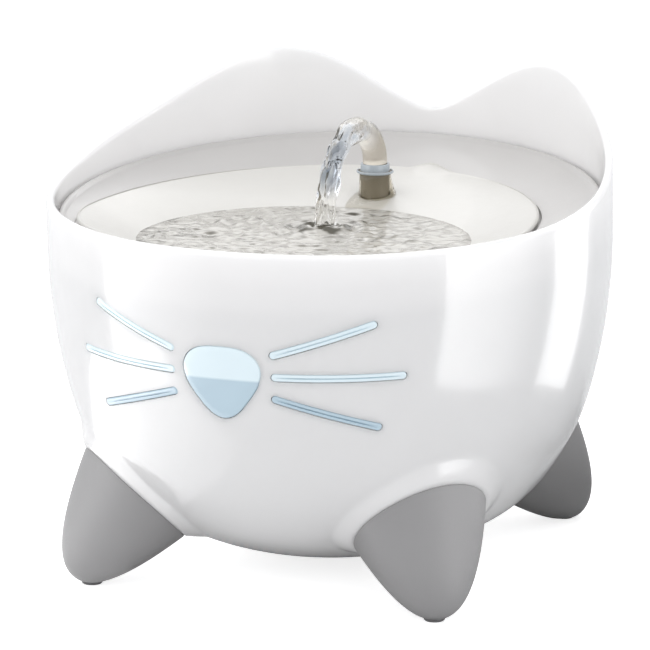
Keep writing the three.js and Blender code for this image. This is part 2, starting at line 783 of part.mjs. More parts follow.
for (let i = 0; i < slotCount; i += 1) {
  const x = (i - (slotCount - 1) / 2) * slotPitch;
  const half = slotWidth / 2;
  const slotTop = poolHeight + slotHeight;
  dish = dish.subtract(block(x - half, x + half, slotFrontY, slotBackY, poolHeight, slotTop));
}

// Tray: bead at the shell, slope down to the dish, then a flange under the dish edge
function acrossTray(angle) {
  const p = onBowl(angle, trayEdgeRadius, trayEdgeHeight);
  const length = p.y < dishCentreY ? dishFront : dishBack;
  return Math.atan2(p.x / dishHalfWidth, -(p.y - dishCentreY) / length);
}
// Rows over the bead: share of its height inward and share down
const beadShares = [[0, 1], [0.4, 0.3], [1.2, 0], [2, 0.4], [2.8, 1]];
const beadRing = ([inward, down]) => (angle) => onBowl(
  angle,
  trayEdgeRadius - inward * trayBead,
  trayEdgeHeight - down * trayBead,
);
const slopeStart = beadRing(beadShares.at(-1));
function slopeEnd(angle) {
  const [x, y] = dishEdge(acrossTray(angle), trayStandOff);
  const z = Math.min(dishEdgeHeight - slopeDrop, slopeStart(angle).z - fitGap);
  return new THREE.Vector3(x, y, z);
}
function stepFoot(angle) {
  const end = slopeEnd(angle);
  const [x, y] = dishEdge(acrossTray(angle), trayStandOff - fitGap);
  return new THREE.Vector3(x, y, Math.min(end.z - fitGap, dishEdgeHeight - trayStep));
}
const seat = (angle, share, lift) => dishPoint(acrossTray(angle), share, lift - dishThick - seatGap);
function aboveLedge(p) {
  const q = unlean(p);
  const reach = Math.hypot(q.x, q.y / lengthwiseStretch);
  if (reach > ledgeRadius - trayThick) q.z = Math.max(q.z, ledgeTop + fitGap);
  return lean(q.x, q.y, q.z);
}
const slopeAt = (share) => (angle) => slopeStart(angle).lerp(slopeEnd(angle), share);
const underSlope = (share) => (angle) => {
  const p = slopeAt(share)(angle);
  p.z -= trayThick;
  return aboveLedge(p);
};
const slopeShares = [0.5, 1];
const underSlopeShare = 0.6;
const trayRings = [
  (angle) => onBowl(angle, trayEdgeRadius, ledgeTop + fitGap),
  ...beadShares.map(beadRing),
  ...slopeShares.map(slopeAt),
  stepFoot,
  (angle) => seat(angle, seatOuterShare, 0),
  (angle) => seat(angle, seatInnerShare, 0),
  (angle) => seat(angle, seatInnerShare, -trayThick),
  (angle) => seat(angle, seatOuterShare, -trayThick),
  (angle) => {
    const p = stepFoot(angle);
    p.z -= trayThick;
    return aboveLedge(p);
  },
  underSlope(underSlopeShare),
  (angle) => onBowl(angle, ledgeRadius - fitGap, ledgeTop + fitGap),
];
add('tray_ring', solid(ringSolid(trayRings)), trayPaint);
add('drinking_dish', dish, dishPaint);

// Spout: stem, flange and upstand with one bore
let spout = post(upstandRadius, stemBottom, upstandTop, 0, spoutY);
spout = spout.add(post(flangeRadius, flangeHeight - flangeThick, flangeHeight, 0, spoutY, footSegments));
spout = spout.subtract(post(upstandBore, stemBottom - cutSpare, upstandTop + cutSpare, 0, spoutY));
add('spout_nozzle', spout, spoutPaint);
const riserBore = upstandRadius + fitGap;
const riser = post(riserBore + riserWall, pumpTop + fitGap, riserTop, 0, spoutY);
add('riser_tube', riser.subtract(post(riserBore, pumpTop, riserTop + cutSpare, 0, spoutY)), hosePaint);

// Pump: a wet chamber for the blades at the back, a well for the rotor in front of it
const shaftFront = pumpFront + shaftInset;
const pumpWide = [-pumpHalfWidth, pumpHalfWidth];
let pump = roundedBlock(...pumpWide, pumpFront, pumpBack, pumpBottom, pumpTop, pumpCorner);
pump = pump.add(post(upstandRadius, pumpTop - cutSpare, spigotTop, 0, spoutY));
const wellFront = rotorFront - runGap;
const wellBack = rotorBack + hubLong;
pump = pump.subtract(barrel(rotorRadius + runGap, wellFront, wellBack, 0, axisHeight, footSegments));
pump = pump.subtract(barrel(chamberRadius, chamberStart, pumpBack + cutSpare, 0, axisHeight, footSegments));
pump = pump.subtract(post(spigotBore, axisHeight, spigotTop + cutSpare, 0, spoutY));
pump = pump.subtract(barrel(shaftRadius + shaftGap, shaftFront - fitGap, rotorFront, 0, axisHeight));
add('pump_body', pump, pumpPaint);

const coverIn = pumpBack + fitGap;
const coverOut = coverIn + coverThick;
let cover = block(...pumpWide, coverIn, coverOut, pumpBottom, pumpTop);
cover = cover.add(barrel(hubRadius, coverIn - hubLong, coverIn + cutSpare, 0, axisHeight));
[1, -1].forEach((side) => {
  const near = axisHeight + side * railIn;
  const lip = axisHeight + side * (railIn - railLip);
  const far = axisHeight + side * (railIn + railTall);
  const span = (a, b) => [Math.min(a, b), Math.max(a, b)];
  const railBack = coverOut + sliderThick + 2 * fitGap;
  const railFoot = coverOut - cutSpare;
  cover = cover.add(block(...pumpWide, railFoot, railBack + railThick, ...span(near, far)));
  cover = cover.add(block(...pumpWide, railBack, railBack + railThick, ...span(lip, far)));
});
function intakeSlots(from, to) {
  const half = intakeWidth / 2;
  const slots = [];
  for (let i = 0; i < intakeCount; i += 1) {
    const x = (i - (intakeCount - 1) / 2) * intakePitch;
    slots.push(block(x - half, x + half, from, to, axisHeight - intakeHalf, axisHeight + intakeHalf));
  }
  return slots;
}
intakeSlots(coverIn - cutSpare, coverOut + cutSpare).forEach((slot, i) => {
  if (i !== (intakeCount - 1) / 2) cover = cover.subtract(slot);
});
cover = cover.subtract(barrel(shaftRadius + shaftGap, rotorFront, shaftEnd + fitGap, 0, axisHeight));
add('pump_cover', cover, pumpPaint);

const sliderHalf = railIn - fitGap;
const sliderIn = coverOut + fitGap;
const sliderOut = sliderIn + sliderThick;
const knobOut = sliderOut + 2 * sliderThick;
const low = axisHeight - sliderHalf;
const high = axisHeight + sliderHalf;
let slider = block(-sliderLong, sliderLong, sliderIn, sliderOut, low, high);
intakeSlots(sliderIn - cutSpare, sliderOut + cutSpare).forEach((slot) => {
  slider = slider.subtract(slot);
});
const knobIn = sliderLong - intakeWidth;
const knobLow = axisHeight - intakeWidth;
const knobHigh = axisHeight + intakeWidth;
slider = slider.add(block(knobIn, sliderLong, sliderIn, knobOut, knobLow, knobHigh));
add('flow_slider', slider, rotorPaint);

let impeller = barrel(rotorRadius, rotorFront, rotorBack, 0, axisHeight, footSegments);
impeller = impeller.add(barrel(hubRadius, rotorBack - cutSpare, bladeStart + cutSpare, 0, axisHeight));
const discBack = bladeStart + bladeThick;
impeller = impeller.add(barrel(bladeRadius, bladeStart, discBack, 0, axisHeight, footSegments));
const bladeReach = bladeRadius - cutSpare;
const bladeGeometry = new THREE.BoxGeometry(bladeReach, bladeLong, bladeThick);
bladeGeometry.translate(bladeReach / 2 + fitGap, bladeStart + bladeLong / 2, 0);
for (let i = 0; i < bladeCount; i += 1) {
  const blade = bladeGeometry.clone().rotateY((TAU * i) / bladeCount);
  impeller = impeller.add(placed(blade, 0, 0, axisHeight));
}
const bladeEnd = bladeStart + bladeLong;
const shaftHole = barrel(shaftRadius + shaftGap, rotorFront - cutSpare, bladeEnd + cutSpare, 0, axisHeight);
add('impeller', impeller.subtract(shaftHole), rotorPaint);
add('impeller_shaft', barrel(shaftRadius, shaftFront, shaftEnd, 0, axisHeight), steelPaint);

pumpPosts.forEach(([x, y], i) => {
  const bottom = postTop + fitGap;
  const top = pumpBottom - fitGap;
  const cupPoint = ([wide, up]) => new THREE.Vector2(mix(cupNeck, postRadius, wide), mix(bottom, top, up));
  const points = cupShares.map(cupPoint);
  const profile = [new THREE.Vector2(0, bottom), ...points, new THREE.Vector2(0, top)];
  const geometry = new THREE.LatheGeometry(profile, smallSegments);
  geometry.rotateX(Math.PI / 2);
  add(`pump_cup_${i + 1}`, placed(geometry, x, y, 0), cupPaint);
});

// Filter basket on two pegs, with a foam pad; inside and outside are the same outline moved in
function basketBlock(inward, bottom, top) {
  return roundedBlock(
    inward - filterHalfWidth,
    filterHalfWidth - inward,
    filterFrontY + inward,
    filterBackY - inward,
    bottom,
    top,
    basketCorner - Math.min(inward, filterWall),
  );
}
const filterFloor = filterBottom + filterWall;
const pegHole = pegRadius + fitGap;
let basket = basketBlock(0, filterBottom, filterTop);
basket = basket.subtract(basketBlock(filterWall, filterFloor, filterTop + cutSpare));
[-1, 1].forEach((side) => {
  const near = side * (filterHalfWidth - cutSpare);
  const far = side * bowlRadius;
  const outside = block(Math.min(near, far), Math.max(near, far), filterFrontY, filterBackY, 0, filterTop);
  const x = side * pegX;
  const ear = post(pegHole + filterWall, pegBottom, filterTop, x, pegY);
  basket = basket.add(ear.intersect(outside));
  basket = basket.subtract(post(pegHole, pegBottom - cutSpare, filterTop + cutSpare, x, pegY));
});
const slotFront = filterFrontY + basketCorner;
const slotBack = filterBackY - basketCorner;
for (let i = 0; i < basketSlotCount; i += 1) {
  const x = (i - (basketSlotCount - 1) / 2) * basketPitch;
  const half = intakeWidth / 2;
  const below = filterBottom - cutSpare;
  basket = basket.subtract(block(x - half, x + half, slotFront, slotBack, below, filterFloor + cutSpare));
}
add('filter_holder', basket, filterPaint);
const foamTop = mix(filterBottom, filterTop, foamShare);
add('filter_pad', basketBlock(filterWall + fitGap, filterFloor + fitGap, foamTop), foamPaint);

// Inlet pieces and the lead inside the bowl
const flangeIn = pocketFloor + fitGap;
let socket = leanBarrel(inletPocket - fitGap, flangeIn, flangeIn + socketThick, footSegments);
socket = socket.add(leanBarrel(inletNeck, inletNeckEnd, pocketFloor + cutSpare));
socket = socket.subtract(leanBarrel(jackRadius, inletNeckEnd + jackWall, backOut + cutSpare));
add('power_socket', socket, pumpPaint);
const nutOut = inletBossIn - fitGap;
const nut = leanBarrel(nutRadius, nutOut - nutThick, nutOut, nutSideCount);
const nutHole = leanBarrel(inletNeck + fitGap, nutOut - nutThick - cutSpare, nutOut + cutSpare);
add('socket_nut', nut.subtract(nutHole), rotorPaint);

const leadEnd = lean(0, inletNeckEnd - fitGap, inletHeight);
const leadShares = [
  [0.55, 0.16, 0], [0.55, 0.16, 0.07], [0.64, 0.28, 0.17], [1, 0.55, 0.18], [1.09, 0.85, 0.24],
  [1, 0.985, 0.46], [0.6, 0.96, 0.76], [0.15, 0.925, 0.96], [0, 0.955, 0.995],
];
const leadRoute = leadShares.map(([x, y, z]) => new THREE.Vector3(
  leadSide * x,
  leadEnd.y * y,
  mix(pumpTop + fitGap, leadEnd.z, z),
));
leadRoute.push(leadEnd);
function leadTube(radius) {
  const shape = new THREE.Shape().absarc(0, 0, radius, 0, TAU);
  const geometry = new THREE.ExtrudeGeometry(shape, {
    extrudePath: new THREE.CatmullRomCurve3(leadRoute),
    steps: leadSteps,
    bevelEnabled: false,
    curveSegments: leadFacetCount / 2,
  });
  return solid(geometry);
}
add('pump_lead', leadTube(leadRadius), leadPaint);
const insideWall = filled(-wall - fitGap);
const { x: clipX, y: clipY, z: clipZ } = leadRoute[clipAfterSteps];
const clipLeft = clipX - clipHalf;
const clipRight = clipX + clipHalf;
const clip = block(clipLeft, clipRight, clipY - clipHalf, bowlWidth, clipZ - clipHalf, clipZ + clipHalf);
add('lead_clip', clip.intersect(insideWall).subtract(leadTube(leadRadius + fitGap)), pumpPaint);

// Water: the pool lies on the dish, and the stream arcs over to it
const poolShares = [1.65, 1.3, 1.08];
add('water_pool', solid(ringSolid([
  new THREE.Vector3(0, poolCentreY, dishHeight(2) + fitGap),
  ...poolShares.map((share) => (t) => dishPoint(t, share, fitGap)),
  (t) => {
    const p = dishPoint(t, poolRimShare);
    p.z = poolHeight;
    return p;
  },
  new THREE.Vector3(0, poolCentreY, poolHeight),
], roundSegments, denserBack)), waterPaint);

// Shares of the reach and of the rise, or of the fall below the spout where negative
const streamShares = [
  [0, 0.02], [0, 0.12], [0.015, 0.29], [0.09, 0.5], [0.194, 0.709], [0.358, 0.914], [0.56, 1],
  [0.717, 0.885], [0.853, 0.631], [0.93, 0.299], [0.967, -0.073], [0.99, -0.563], [1, -1],
];
const streamPath = new THREE.CatmullRomCurve3(streamShares.map(([y, z]) => new THREE.Vector3(
  0,
  spoutY - streamReach * y,
  upstandTop + (z > 0 ? streamRise : streamFall) * z,
)), false, 'centripetal');
const streamWideShares = [[0, 1], [0.45, 1], [0.6, 0.9], [0.8, 0.75], [1, streamEndRadius / streamRadius]];
const streamWide = through(streamWideShares);
function streamRing(share) {
  const centre = streamPath.getPointAt(share);
  const along = streamPath.getTangentAt(share);
  const side = new THREE.Vector3(1, 0, 0);
  const other = new THREE.Vector3().crossVectors(along, side);
  const radius = streamRadius * streamWide(share);
  return (angle) => centre.clone()
    .addScaledVector(side, radius * Math.cos(angle))
    .addScaledVector(other, radius * Math.sin(angle));
}
const streamRings = [streamPath.getPointAt(0)];
for (let i = 0; i <= streamSteps; i += 1) streamRings.push(streamRing(i / streamSteps));
streamRings.push(streamPath.getPointAt(1));
add('water_stream', solid(ringSolid(streamRings, smallSegments)), waterPaint);

// The whole stands on the ground, centred by its outline
const outline = new THREE.Box3().setFromObject(group);
const middle = outline.getCenter(new THREE.Vector3());
group.children.forEach((mesh) => mesh.geometry.translate(-middle.x, -middle.y, -outline.min.z));

export default group;
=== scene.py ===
"""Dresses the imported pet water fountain: fine meshes, node materials, water, camera and studio light."""

import math

import bpy
import numpy as np
from mathutils import Matrix, Quaternion, Vector


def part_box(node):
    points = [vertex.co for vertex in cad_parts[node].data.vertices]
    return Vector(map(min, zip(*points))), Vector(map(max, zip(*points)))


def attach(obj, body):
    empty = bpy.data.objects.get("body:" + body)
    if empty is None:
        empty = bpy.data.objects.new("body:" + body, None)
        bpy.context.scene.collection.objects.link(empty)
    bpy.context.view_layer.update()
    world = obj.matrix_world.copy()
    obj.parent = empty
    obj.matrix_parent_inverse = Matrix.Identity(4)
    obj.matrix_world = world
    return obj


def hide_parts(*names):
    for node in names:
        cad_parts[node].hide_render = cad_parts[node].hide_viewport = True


bl_info = {
    "name": "Pet water fountain",
    "version": (1, 0, 0),
    "blender": (4, 5, 0),
    "location": "3D View > Sidebar > Fountain",
    "description": "Builds the looks of a bowl-shaped pet water fountain around its packed frame",
    "category": "Object",
}

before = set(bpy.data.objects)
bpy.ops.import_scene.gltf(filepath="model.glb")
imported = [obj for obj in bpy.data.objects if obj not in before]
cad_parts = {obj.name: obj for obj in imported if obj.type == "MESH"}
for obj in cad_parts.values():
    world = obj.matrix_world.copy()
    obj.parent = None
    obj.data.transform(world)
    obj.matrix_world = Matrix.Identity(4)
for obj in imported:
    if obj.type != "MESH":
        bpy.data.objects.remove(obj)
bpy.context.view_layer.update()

TURN = 2 * math.pi
PHOTO_PIXELS = 650
SIDES = {"right": 1, "left": -1}


def box_centre(node):
    low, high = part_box(node)
    return (low + high) / 2


# The frame centres the fountain by its outline. Here the bowl's own axis meets the ground at the origin,
# and every point is moved by this much at the end.
SPOUT_FROM_AXIS = 0.0467
FRAME_SHIFT = np.array([0.0, box_centre("spout_nozzle").y - SPOUT_FROM_AXIS, 0.0])


# Values a user would change
class FountainSizes(bpy.types.PropertyGroup):
    """Sizes of the fountain, in metres, the same as in the solids"""

    def length(name, description, default):
        return bpy.props.FloatProperty(
            name=name, description=description, default=default, unit="LENGTH", precision=4
        )

    bowl_radius: length("Bowl radius", "Half the bowl's width", 0.124)
    wall_height: length("Wall height", "Height that the bowl's outline is given for", 0.2)
    ear_height: length("Ear height", "Height of the ears along the bowl's axis", 0.20365)
    wall: length("Wall", "Thickness of the bowl's wall", 0.003)
    lip: length("Lip", "Height of the rounded lip", 0.0024)
    base_height: length("Base height", "Height of the flat base along the bowl's axis", 0.0057)
    ledge_height: length("Ledge height", "Height of the ledge that holds the tray", 0.1579)
    ledge_radius: length("Ledge radius", "Inner radius of the ledge", 0.1135)
    wall_at_tray: length("Wall at tray", "Inner radius of the wall beside the tray", 0.1194)
    wall_at_ear: length("Wall at ear", "Inner radius of the wall at the top of the ears", 0.1213)
    tray_height: length("Tray height", "Height of the tray's bead along the bowl's axis", 0.1622)
    tray_radius: length("Tray radius", "Outer radius of the tray", 0.1186)
    dish_half_width: length("Dish half width", "Half the dish's width", 0.1001)
    dish_back: length("Dish back", "Length from the dish's centre to its back edge", 0.1366)
    dish_front: length("Dish front", "Length from the dish's centre to its front edge", 0.083)
    dish_height: length("Dish height", "Height of the dish's edge", 0.1605)
    pool_half_width: length("Pool half width", "Half the pool's width", 0.0734)
    pool_back: length("Pool back", "Length from the pool's centre to its back edge", 0.0777)
    pool_front: length("Pool front", "Length from the pool's centre to its front edge", 0.068)
    pool_height: length("Pool height", "Height of the water in the dish", 0.1509)
    pool_depth: length("Pool depth", "Depth of the dish below the water line", 0.014)
    ripple_height: length("Ripple height", "Height of the ripples on the pool", 0.0006)
    stream_radius: length("Stream radius", "Radius of the water leaving the spout", 0.0057)


class FountainColours(bpy.types.PropertyGroup):
    """Colours of the fountain's finishes"""

    def colour(name, description, default):
        return bpy.props.FloatVectorProperty(
            name=name, description=description, default=default, subtype="COLOR", min=0, max=1
        )

    shell: colour("Shell", "Off-white bowl", (0.83, 0.82, 0.815))
    tray: colour("Tray", "Grey tray", (0.57, 0.555, 0.54))
    dish: colour("Dish", "Warm white dish", (0.68, 0.664, 0.628))
    foot: colour("Foot", "Grey feet", (0.29, 0.285, 0.286))
    window: colour("Window", "Pale blue windows below the water line", (0.50, 0.64, 0.73))
    window_dry: colour("Window above the water", "Pale windows above the water line", (0.76, 0.88, 0.93))
    spout: colour("Spout", "Silver grey spout", (0.42, 0.47, 0.51))
    water: colour("Water", "Tint of the water", (1.0, 0.968, 0.905))
    # Painted reflection and shade: the dark tint of the pool's streaks, of its ends and of its steep ripples
    water_deep: colour("Water in shade", "Tint of the water on steep ripples", (0.17, 0.16, 0.13))
    # Painted shade: the tint of thin water where it runs down steeply
    water_thin: colour("Thin water", "Tint of the water that runs down the spout's stem", (0.82, 0.79, 0.72))
    # Painted refraction: the warm tint of the cream dish seen through the water just above the spout
    column: colour("Column", "Tint of the water just above the spout", (0.75, 0.70, 0.61))
    # Painted shade and reflection in the middle of the falling water
    core: colour("Core", "Tint of the middle of the falling water", (0.36, 0.40, 0.45))
    dark: colour("Dark plastic", "Pump and socket", (0.045, 0.048, 0.052))


# Curves and meshes
def through(rows, level_ends=False):
    """Smooth curve through rows of place and value, level at both ends when asked."""
    xs, ys = np.array(rows, float).T
    chord = np.diff(ys) / np.diff(xs)
    slopes = np.zeros(len(xs))
    same = chord[:-1] * chord[1:] > 0
    joined = 2 * chord[:-1] * chord[1:] / np.where(same, chord[:-1] + chord[1:], 1)
    slopes[1:-1] = np.where(same, joined, 0)
    if not level_ends:
        slopes[0], slopes[-1] = chord[0], chord[-1]

    def curve(x):
        x = np.clip(np.asarray(x, float), xs[0], xs[-1])
        i = np.clip(np.searchsorted(xs, x) - 1, 0, len(xs) - 2)
        width = xs[i + 1] - xs[i]
        t = (x - xs[i]) / width
        return (
            (1 + 2 * t) * (1 - t) ** 2 * ys[i]
            + t * t * (3 - 2 * t) * ys[i + 1]
            + t * (1 - t) ** 2 * width * slopes[i]
            + t * t * (t - 1) * width * slopes[i + 1]
        )

    return curve


BELL_REACH = 2.2


def softened(curve, spread, steps=13):
    """The curve averaged over a bell of this spread, so that reflections run smoothly."""
    offsets = np.linspace(-BELL_REACH, BELL_REACH, steps)
    weights = np.exp(-0.5 * offsets**2)
    weights /= weights.sum()
    return lambda x: sum(w * curve(np.asarray(x, float) + o * spread) for w, o in zip(weights, offsets))


def smooth_step(x):
    x = np.clip(x, 0, 1)
    return x * x * (3 - 2 * x)


def smooth(mesh, sharp_degrees=40):
    mesh.shade_smooth()
    mesh.set_sharp_from_angle(angle=math.radians(sharp_degrees))


def mesh_object(name, points, faces, sharp_degrees=40):
    """A smooth-shaded object from points in metres from the bowl's axis."""
    mesh = bpy.data.meshes.new(name)
    mesh.from_pydata((np.asarray(points, float) + FRAME_SHIFT).tolist(), [], faces)
    mesh.validate()
    smooth(mesh, sharp_degrees)
    piece = bpy.data.objects.new(name, mesh)
    bpy.context.scene.collection.objects.link(piece)
    return piece


def ring_faces(rings, count, closed):
    """Quads between rings of points; closed joins the last ring to the first."""
    faces = []
    for r in range(rings if closed else rings - 1):
        a, b = r * count, (r + 1) % rings * count
        for i in range(count):
            j = (i + 1) % count
            faces.append((a + i, a + j, b + j, b + i))
    return faces


def ring_mesh(name, rings, closed=False, sharp_degrees=40):
    """An object from rings of points; when it isn't closed on itself, both ends are capped with fans."""
    rings = [np.asarray(r, float) for r in rings]
    count = len(rings[0])
    points = np.concatenate(rings)
    faces = ring_faces(len(rings), count, closed)
    if not closed:
        start, end = rings[0].mean(0), rings[-1].mean(0)
        points = np.concatenate([points, [start, end]])
        last = (len(rings) - 1) * count
        for i in range(count):
            j = (i + 1) % count
            faces.append((len(points) - 2, j, i))
            faces.append((len(points) - 1, last + i, last + j))
    return mesh_object(name, points, faces, sharp_degrees)


def around(count):
    return np.linspace(0, TURN, count, endpoint=False)


def lathe(name, rows, centre, segments=64, sharp_degrees=40, closed=False):
    """An object turned about an upright axis through centre, from rows of radius and height."""
    x, y = np.cos(around(segments)), np.sin(around(segments))
    rings = [np.stack([centre[0] + r * x, centre[1] + r * y, np.full(segments, z)], -1) for r, z in rows]
    return ring_mesh(name, rings, closed, sharp_degrees)


def post(name, radius, bottom, top, x, y):
    rows = [(radius * 0.5, bottom), (radius, bottom), (radius, top), (radius * 0.5, top)]
    return lathe(name, rows, (x, y), 48)


def join(main, others):
    """Joins the others' meshes into the main object."""
    for other in others:
        base = len(main.data.vertices)
        points = [v.co[:] for piece in (main, other) for v in piece.data.vertices]
        faces = [tuple(p.vertices) for p in main.data.polygons]
        faces += [tuple(base + i for i in p.vertices) for p in other.data.polygons]
        mesh = bpy.data.meshes.new(main.name)
        mesh.from_pydata(points, [], faces)
        smooth(mesh)
        main.data = mesh
        bpy.data.objects.remove(other)


def combine(piece, others, operation="DIFFERENCE"):
    """Cuts the others out of the piece, or joins them to it, and keeps the result as its mesh."""
    for other in others:
        step = piece.modifiers.new("step", "BOOLEAN")
        step.operation = operation
        step.solver = "EXACT"
        step.object = other
    graph = bpy.context.evaluated_depsgraph_get()
    mesh = bpy.data.meshes.new_from_object(piece.evaluated_get(graph))
    piece.modifiers.clear()
    piece.data = mesh
    smooth(mesh)
    for other in others:
        bpy.data.objects.remove(other)


# The bowl's outline
BOWL_LEAN = math.radians(4)
LENGTHWISE = 1.11
LEAN_FULL = 0.078
# Height and radius as shares of the wall's height and the bowl's radius
BOWL_SHARES = [
    (0.028, 0.2), (0.032, 0.262), (0.04, 0.335), (0.06, 0.446), (0.1, 0.585), (0.15, 0.701), (0.225, 0.802),
    (0.325, 0.89), (0.45, 0.948), (0.575, 0.983), (0.7, 0.9985), (0.85, 0.9995), (1.02, 1),
]
# Turn from the face as a share of half a turn, and the rim's height as a share of the ears'
RIM_SHARES = [
    (0, 0.858), (0.222, 0.847), (0.389, 0.8376), (0.5, 0.847), (0.583, 0.872), (0.656, 0.907), (0.722, 0.953),
    (0.778, 0.989), (0.817, 1), (0.856, 0.987), (0.9, 0.949), (0.95, 0.892), (1, 0.854),
]
BOWL_CURVE = through(BOWL_SHARES)
RIM_CURVE = through(RIM_SHARES, level_ends=True)
BASE_SOFTNESS = 0.006
WALL_SOFTNESS = 0.025
SOFTNESS_START = 0.05
SOFTNESS_SPAN = 0.2
RIM_SOFTNESS = math.radians(2.2)


def sizes():
    return bpy.context.scene.fountain_sizes


def colours():
    return bpy.context.scene.fountain_colours


def bowl_at(z):
    s = sizes()
    share = np.asarray(z, float) / s.wall_height
    growth = smooth_step((share - SOFTNESS_START) / SOFTNESS_SPAN)
    softness = BASE_SOFTNESS + (WALL_SOFTNESS - BASE_SOFTNESS) * growth
    return s.bowl_radius * softened(BOWL_CURVE, softness)(share)


def bowl_slope(z, step=0.0004):
    return (bowl_at(z + step) - bowl_at(z - step)) / (2 * step)


def rim_at(angle):
    def raw(a):
        turn = np.abs(np.mod(a / TURN + 0.5, 1) - 0.5) * 2
        return RIM_CURVE(turn)

    return sizes().ear_height * softened(raw, RIM_SOFTNESS)(angle)


def lean_at(z):
    """Sine of the lean at a height: the base is level, and the sides and the rim lean toward the face."""
    return math.sin(BOWL_LEAN) * smooth_step(z / LEAN_FULL)


def lean(points):
    """From the bowl's own upright frame to the fountain's."""
    points = np.asarray(points, float)
    c, s = math.cos(BOWL_LEAN), math.sin(BOWL_LEAN)
    x, y, z = points[..., 0], points[..., 1], points[..., 2]
    return np.stack([x, y * c - z * s, y * lean_at(z) + z * c], -1)


def unlean(points, rounds=8):
    """From the fountain's frame back to the bowl's own, by repeated guesses."""
    points = np.asarray(points, float)
    c, s = math.cos(BOWL_LEAN), math.sin(BOWL_LEAN)
    x, y, z = points[..., 0], points[..., 1], points[..., 2]
    own_z = z
    for _ in range(rounds):
        own_y = (y + own_z * s) / c
        own_z = (z - own_y * lean_at(own_z)) / c
    return np.stack([x, own_y, own_z], -1)


def upright_bowl(angle, radius, z):
    """Points of the bowl's oval in its own frame; the angle runs from the face toward +X."""
    angle, radius, z = np.broadcast_arrays(np.asarray(angle, float), radius, z)
    return np.stack([radius * np.sin(angle), -LENGTHWISE * radius * np.cos(angle), z], -1)


def on_bowl(angle, radius, z):
    return lean(upright_bowl(angle, radius, z))


# Feet
FOOT_ROUND = 96
FOOT_FLAT = 0.0006
PAD_RADIUS = 0.0046
PAD_TALL = 0.0012
HEAD_COVER = 0.0008
HEAD_TALL = 0.002
SHANK_SHARE = 0.45
FOOT_LENGTH = 0.03
COLLAR_LIFT = 0.003
COLLAR_WIDE = 0.0068
COLLAR_SHARPNESS = 24
COLLAR_LIMIT = 1.08


class FootShape:
    """A foot that widens from its tip: its half width is given at one length from the tip."""

    def __init__(self, turn, out, rise, half_width, power, side, inner, tip_height):
        self.out, self.half_width, self.power = out, half_width, power
        self.side_share, self.inner_share = side, inner
        rise = math.radians(rise)
        self.radial = np.array([math.sin(turn), -math.cos(turn), 0])
        self.side = np.array([math.cos(turn), math.sin(turn), 0])
        up = np.array([0, 0, 1])
        self.tip = self.radial * out + up * tip_height
        self.along = up * math.sin(rise) - self.radial * math.cos(rise)
        self.across = up * math.cos(rise) + self.radial * math.sin(rise)

    def width_at(self, length):
        return self.half_width * (np.maximum(length, 0) / FOOT_LENGTH) ** self.power

    def points(self, length, turns, shrink=0.0):
        wide = np.maximum(self.width_at(length) - shrink, 0)
        across = wide * np.cos(turns) * np.where(np.cos(turns) < 0, self.inner_share, 1)
        sideways = wide * np.sin(turns) * self.side_share
        middle = self.tip + np.multiply.outer(length, self.along)
        return middle + across[:, None] * self.across + sideways[:, None] * self.side

    def distance(self, points):
        """How far points lie outside the foot, in metres, taken square to its axis."""
        rel = points - self.tip
        length = rel @ self.along
        across = rel @ self.across
        across = np.where(across < 0, across / self.inner_share, across)
        wide = np.hypot(across, (rel @ self.side) / self.side_share)
        return wide - self.width_at(length) + np.maximum(-length, 0)


FRONT_TURN = math.radians(39.6)
REAR_TURN = math.pi - math.radians(42.3)
# Tip's distance out, rise in degrees, half width, how it widens, side and inner shares, and the tip's height
FRONT_FOOT = (0.1334, 47.7, 0.0238, 0.465, 1.056, 0.955, 0.0036)
REAR_FOOT = (0.1267, 47.2, 0.02515, 0.468, 0.945, 0.866, 0.0024)
FEET = {
    f"{end}_{side_name}": FootShape(side * turn, *shape)
    for end, turn, shape in (("front", FRONT_TURN, FRONT_FOOT), ("rear", REAR_TURN, REAR_FOOT))
    for side_name, side in SIDES.items()
}


def collar_lift(points):
    """Height of the soft shoulder that the bowl forms round each foot."""
    nearest = np.min([foot.distance(points) for foot in FEET.values()], axis=0)
    share = 1 - nearest / COLLAR_WIDE
    rounded = np.logaddexp(0, share * COLLAR_SHARPNESS) / COLLAR_SHARPNESS
    return COLLAR_LIFT * np.clip(rounded, 0, COLLAR_LIMIT)


# Materials
def tree_of(name):
    material = bpy.data.materials.new(name)
    material.use_nodes = True
    tree = material.node_tree
    shader = tree.nodes["Principled BSDF"]
    return material, tree, shader


def set_inputs(shader, **values):
    for key, value in values.items():
        shader.inputs[key.replace("_", " ")].default_value = value


def node(tree, kind, **values):
    """A node with its settings and plain inputs given by name."""
    made = tree.nodes.new(kind)
    for key, value in values.items():
        if hasattr(made, key):
            setattr(made, key, value)
        else:
            set_inputs(made, **{key: value})
    return made


def place_in(tree):
    """Places on the piece, in its own coordinates."""
    place = tree.nodes.get("place") or node(tree, "ShaderNodeTexCoord", name="place")
    return place.outputs["Object"]


def noise(tree, scale, detail=3.0, roughness=0.5):
    made = node(tree, "ShaderNodeTexNoise", Scale=scale, Detail=detail, Roughness=roughness)
    tree.links.new(place_in(tree), made.inputs["Vector"])
    return made.outputs["Fac"]


def ranged(tree, value, first, last, low=0.0, high=1.0):
    """Low to high as a value goes from first to last."""
    made = node(tree, "ShaderNodeMapRange", From_Min=first, From_Max=last, To_Min=low, To_Max=high)
    tree.links.new(value, made.inputs["Value"])
    return made.outputs["Result"]


def spread(tree, value, low, high):
    """Maps a noise value to a range."""
    return ranged(tree, value, *NOISE_RANGE, low, high)


def part_of(tree, vector, axis, first, last, low=0.0, high=1.0):
    """Low to high as one part of a vector goes from first to last."""
    split = node(tree, "ShaderNodeSeparateXYZ")
    tree.links.new(vector, split.inputs["Vector"])
    return ranged(tree, split.outputs[axis], first, last, low, high)


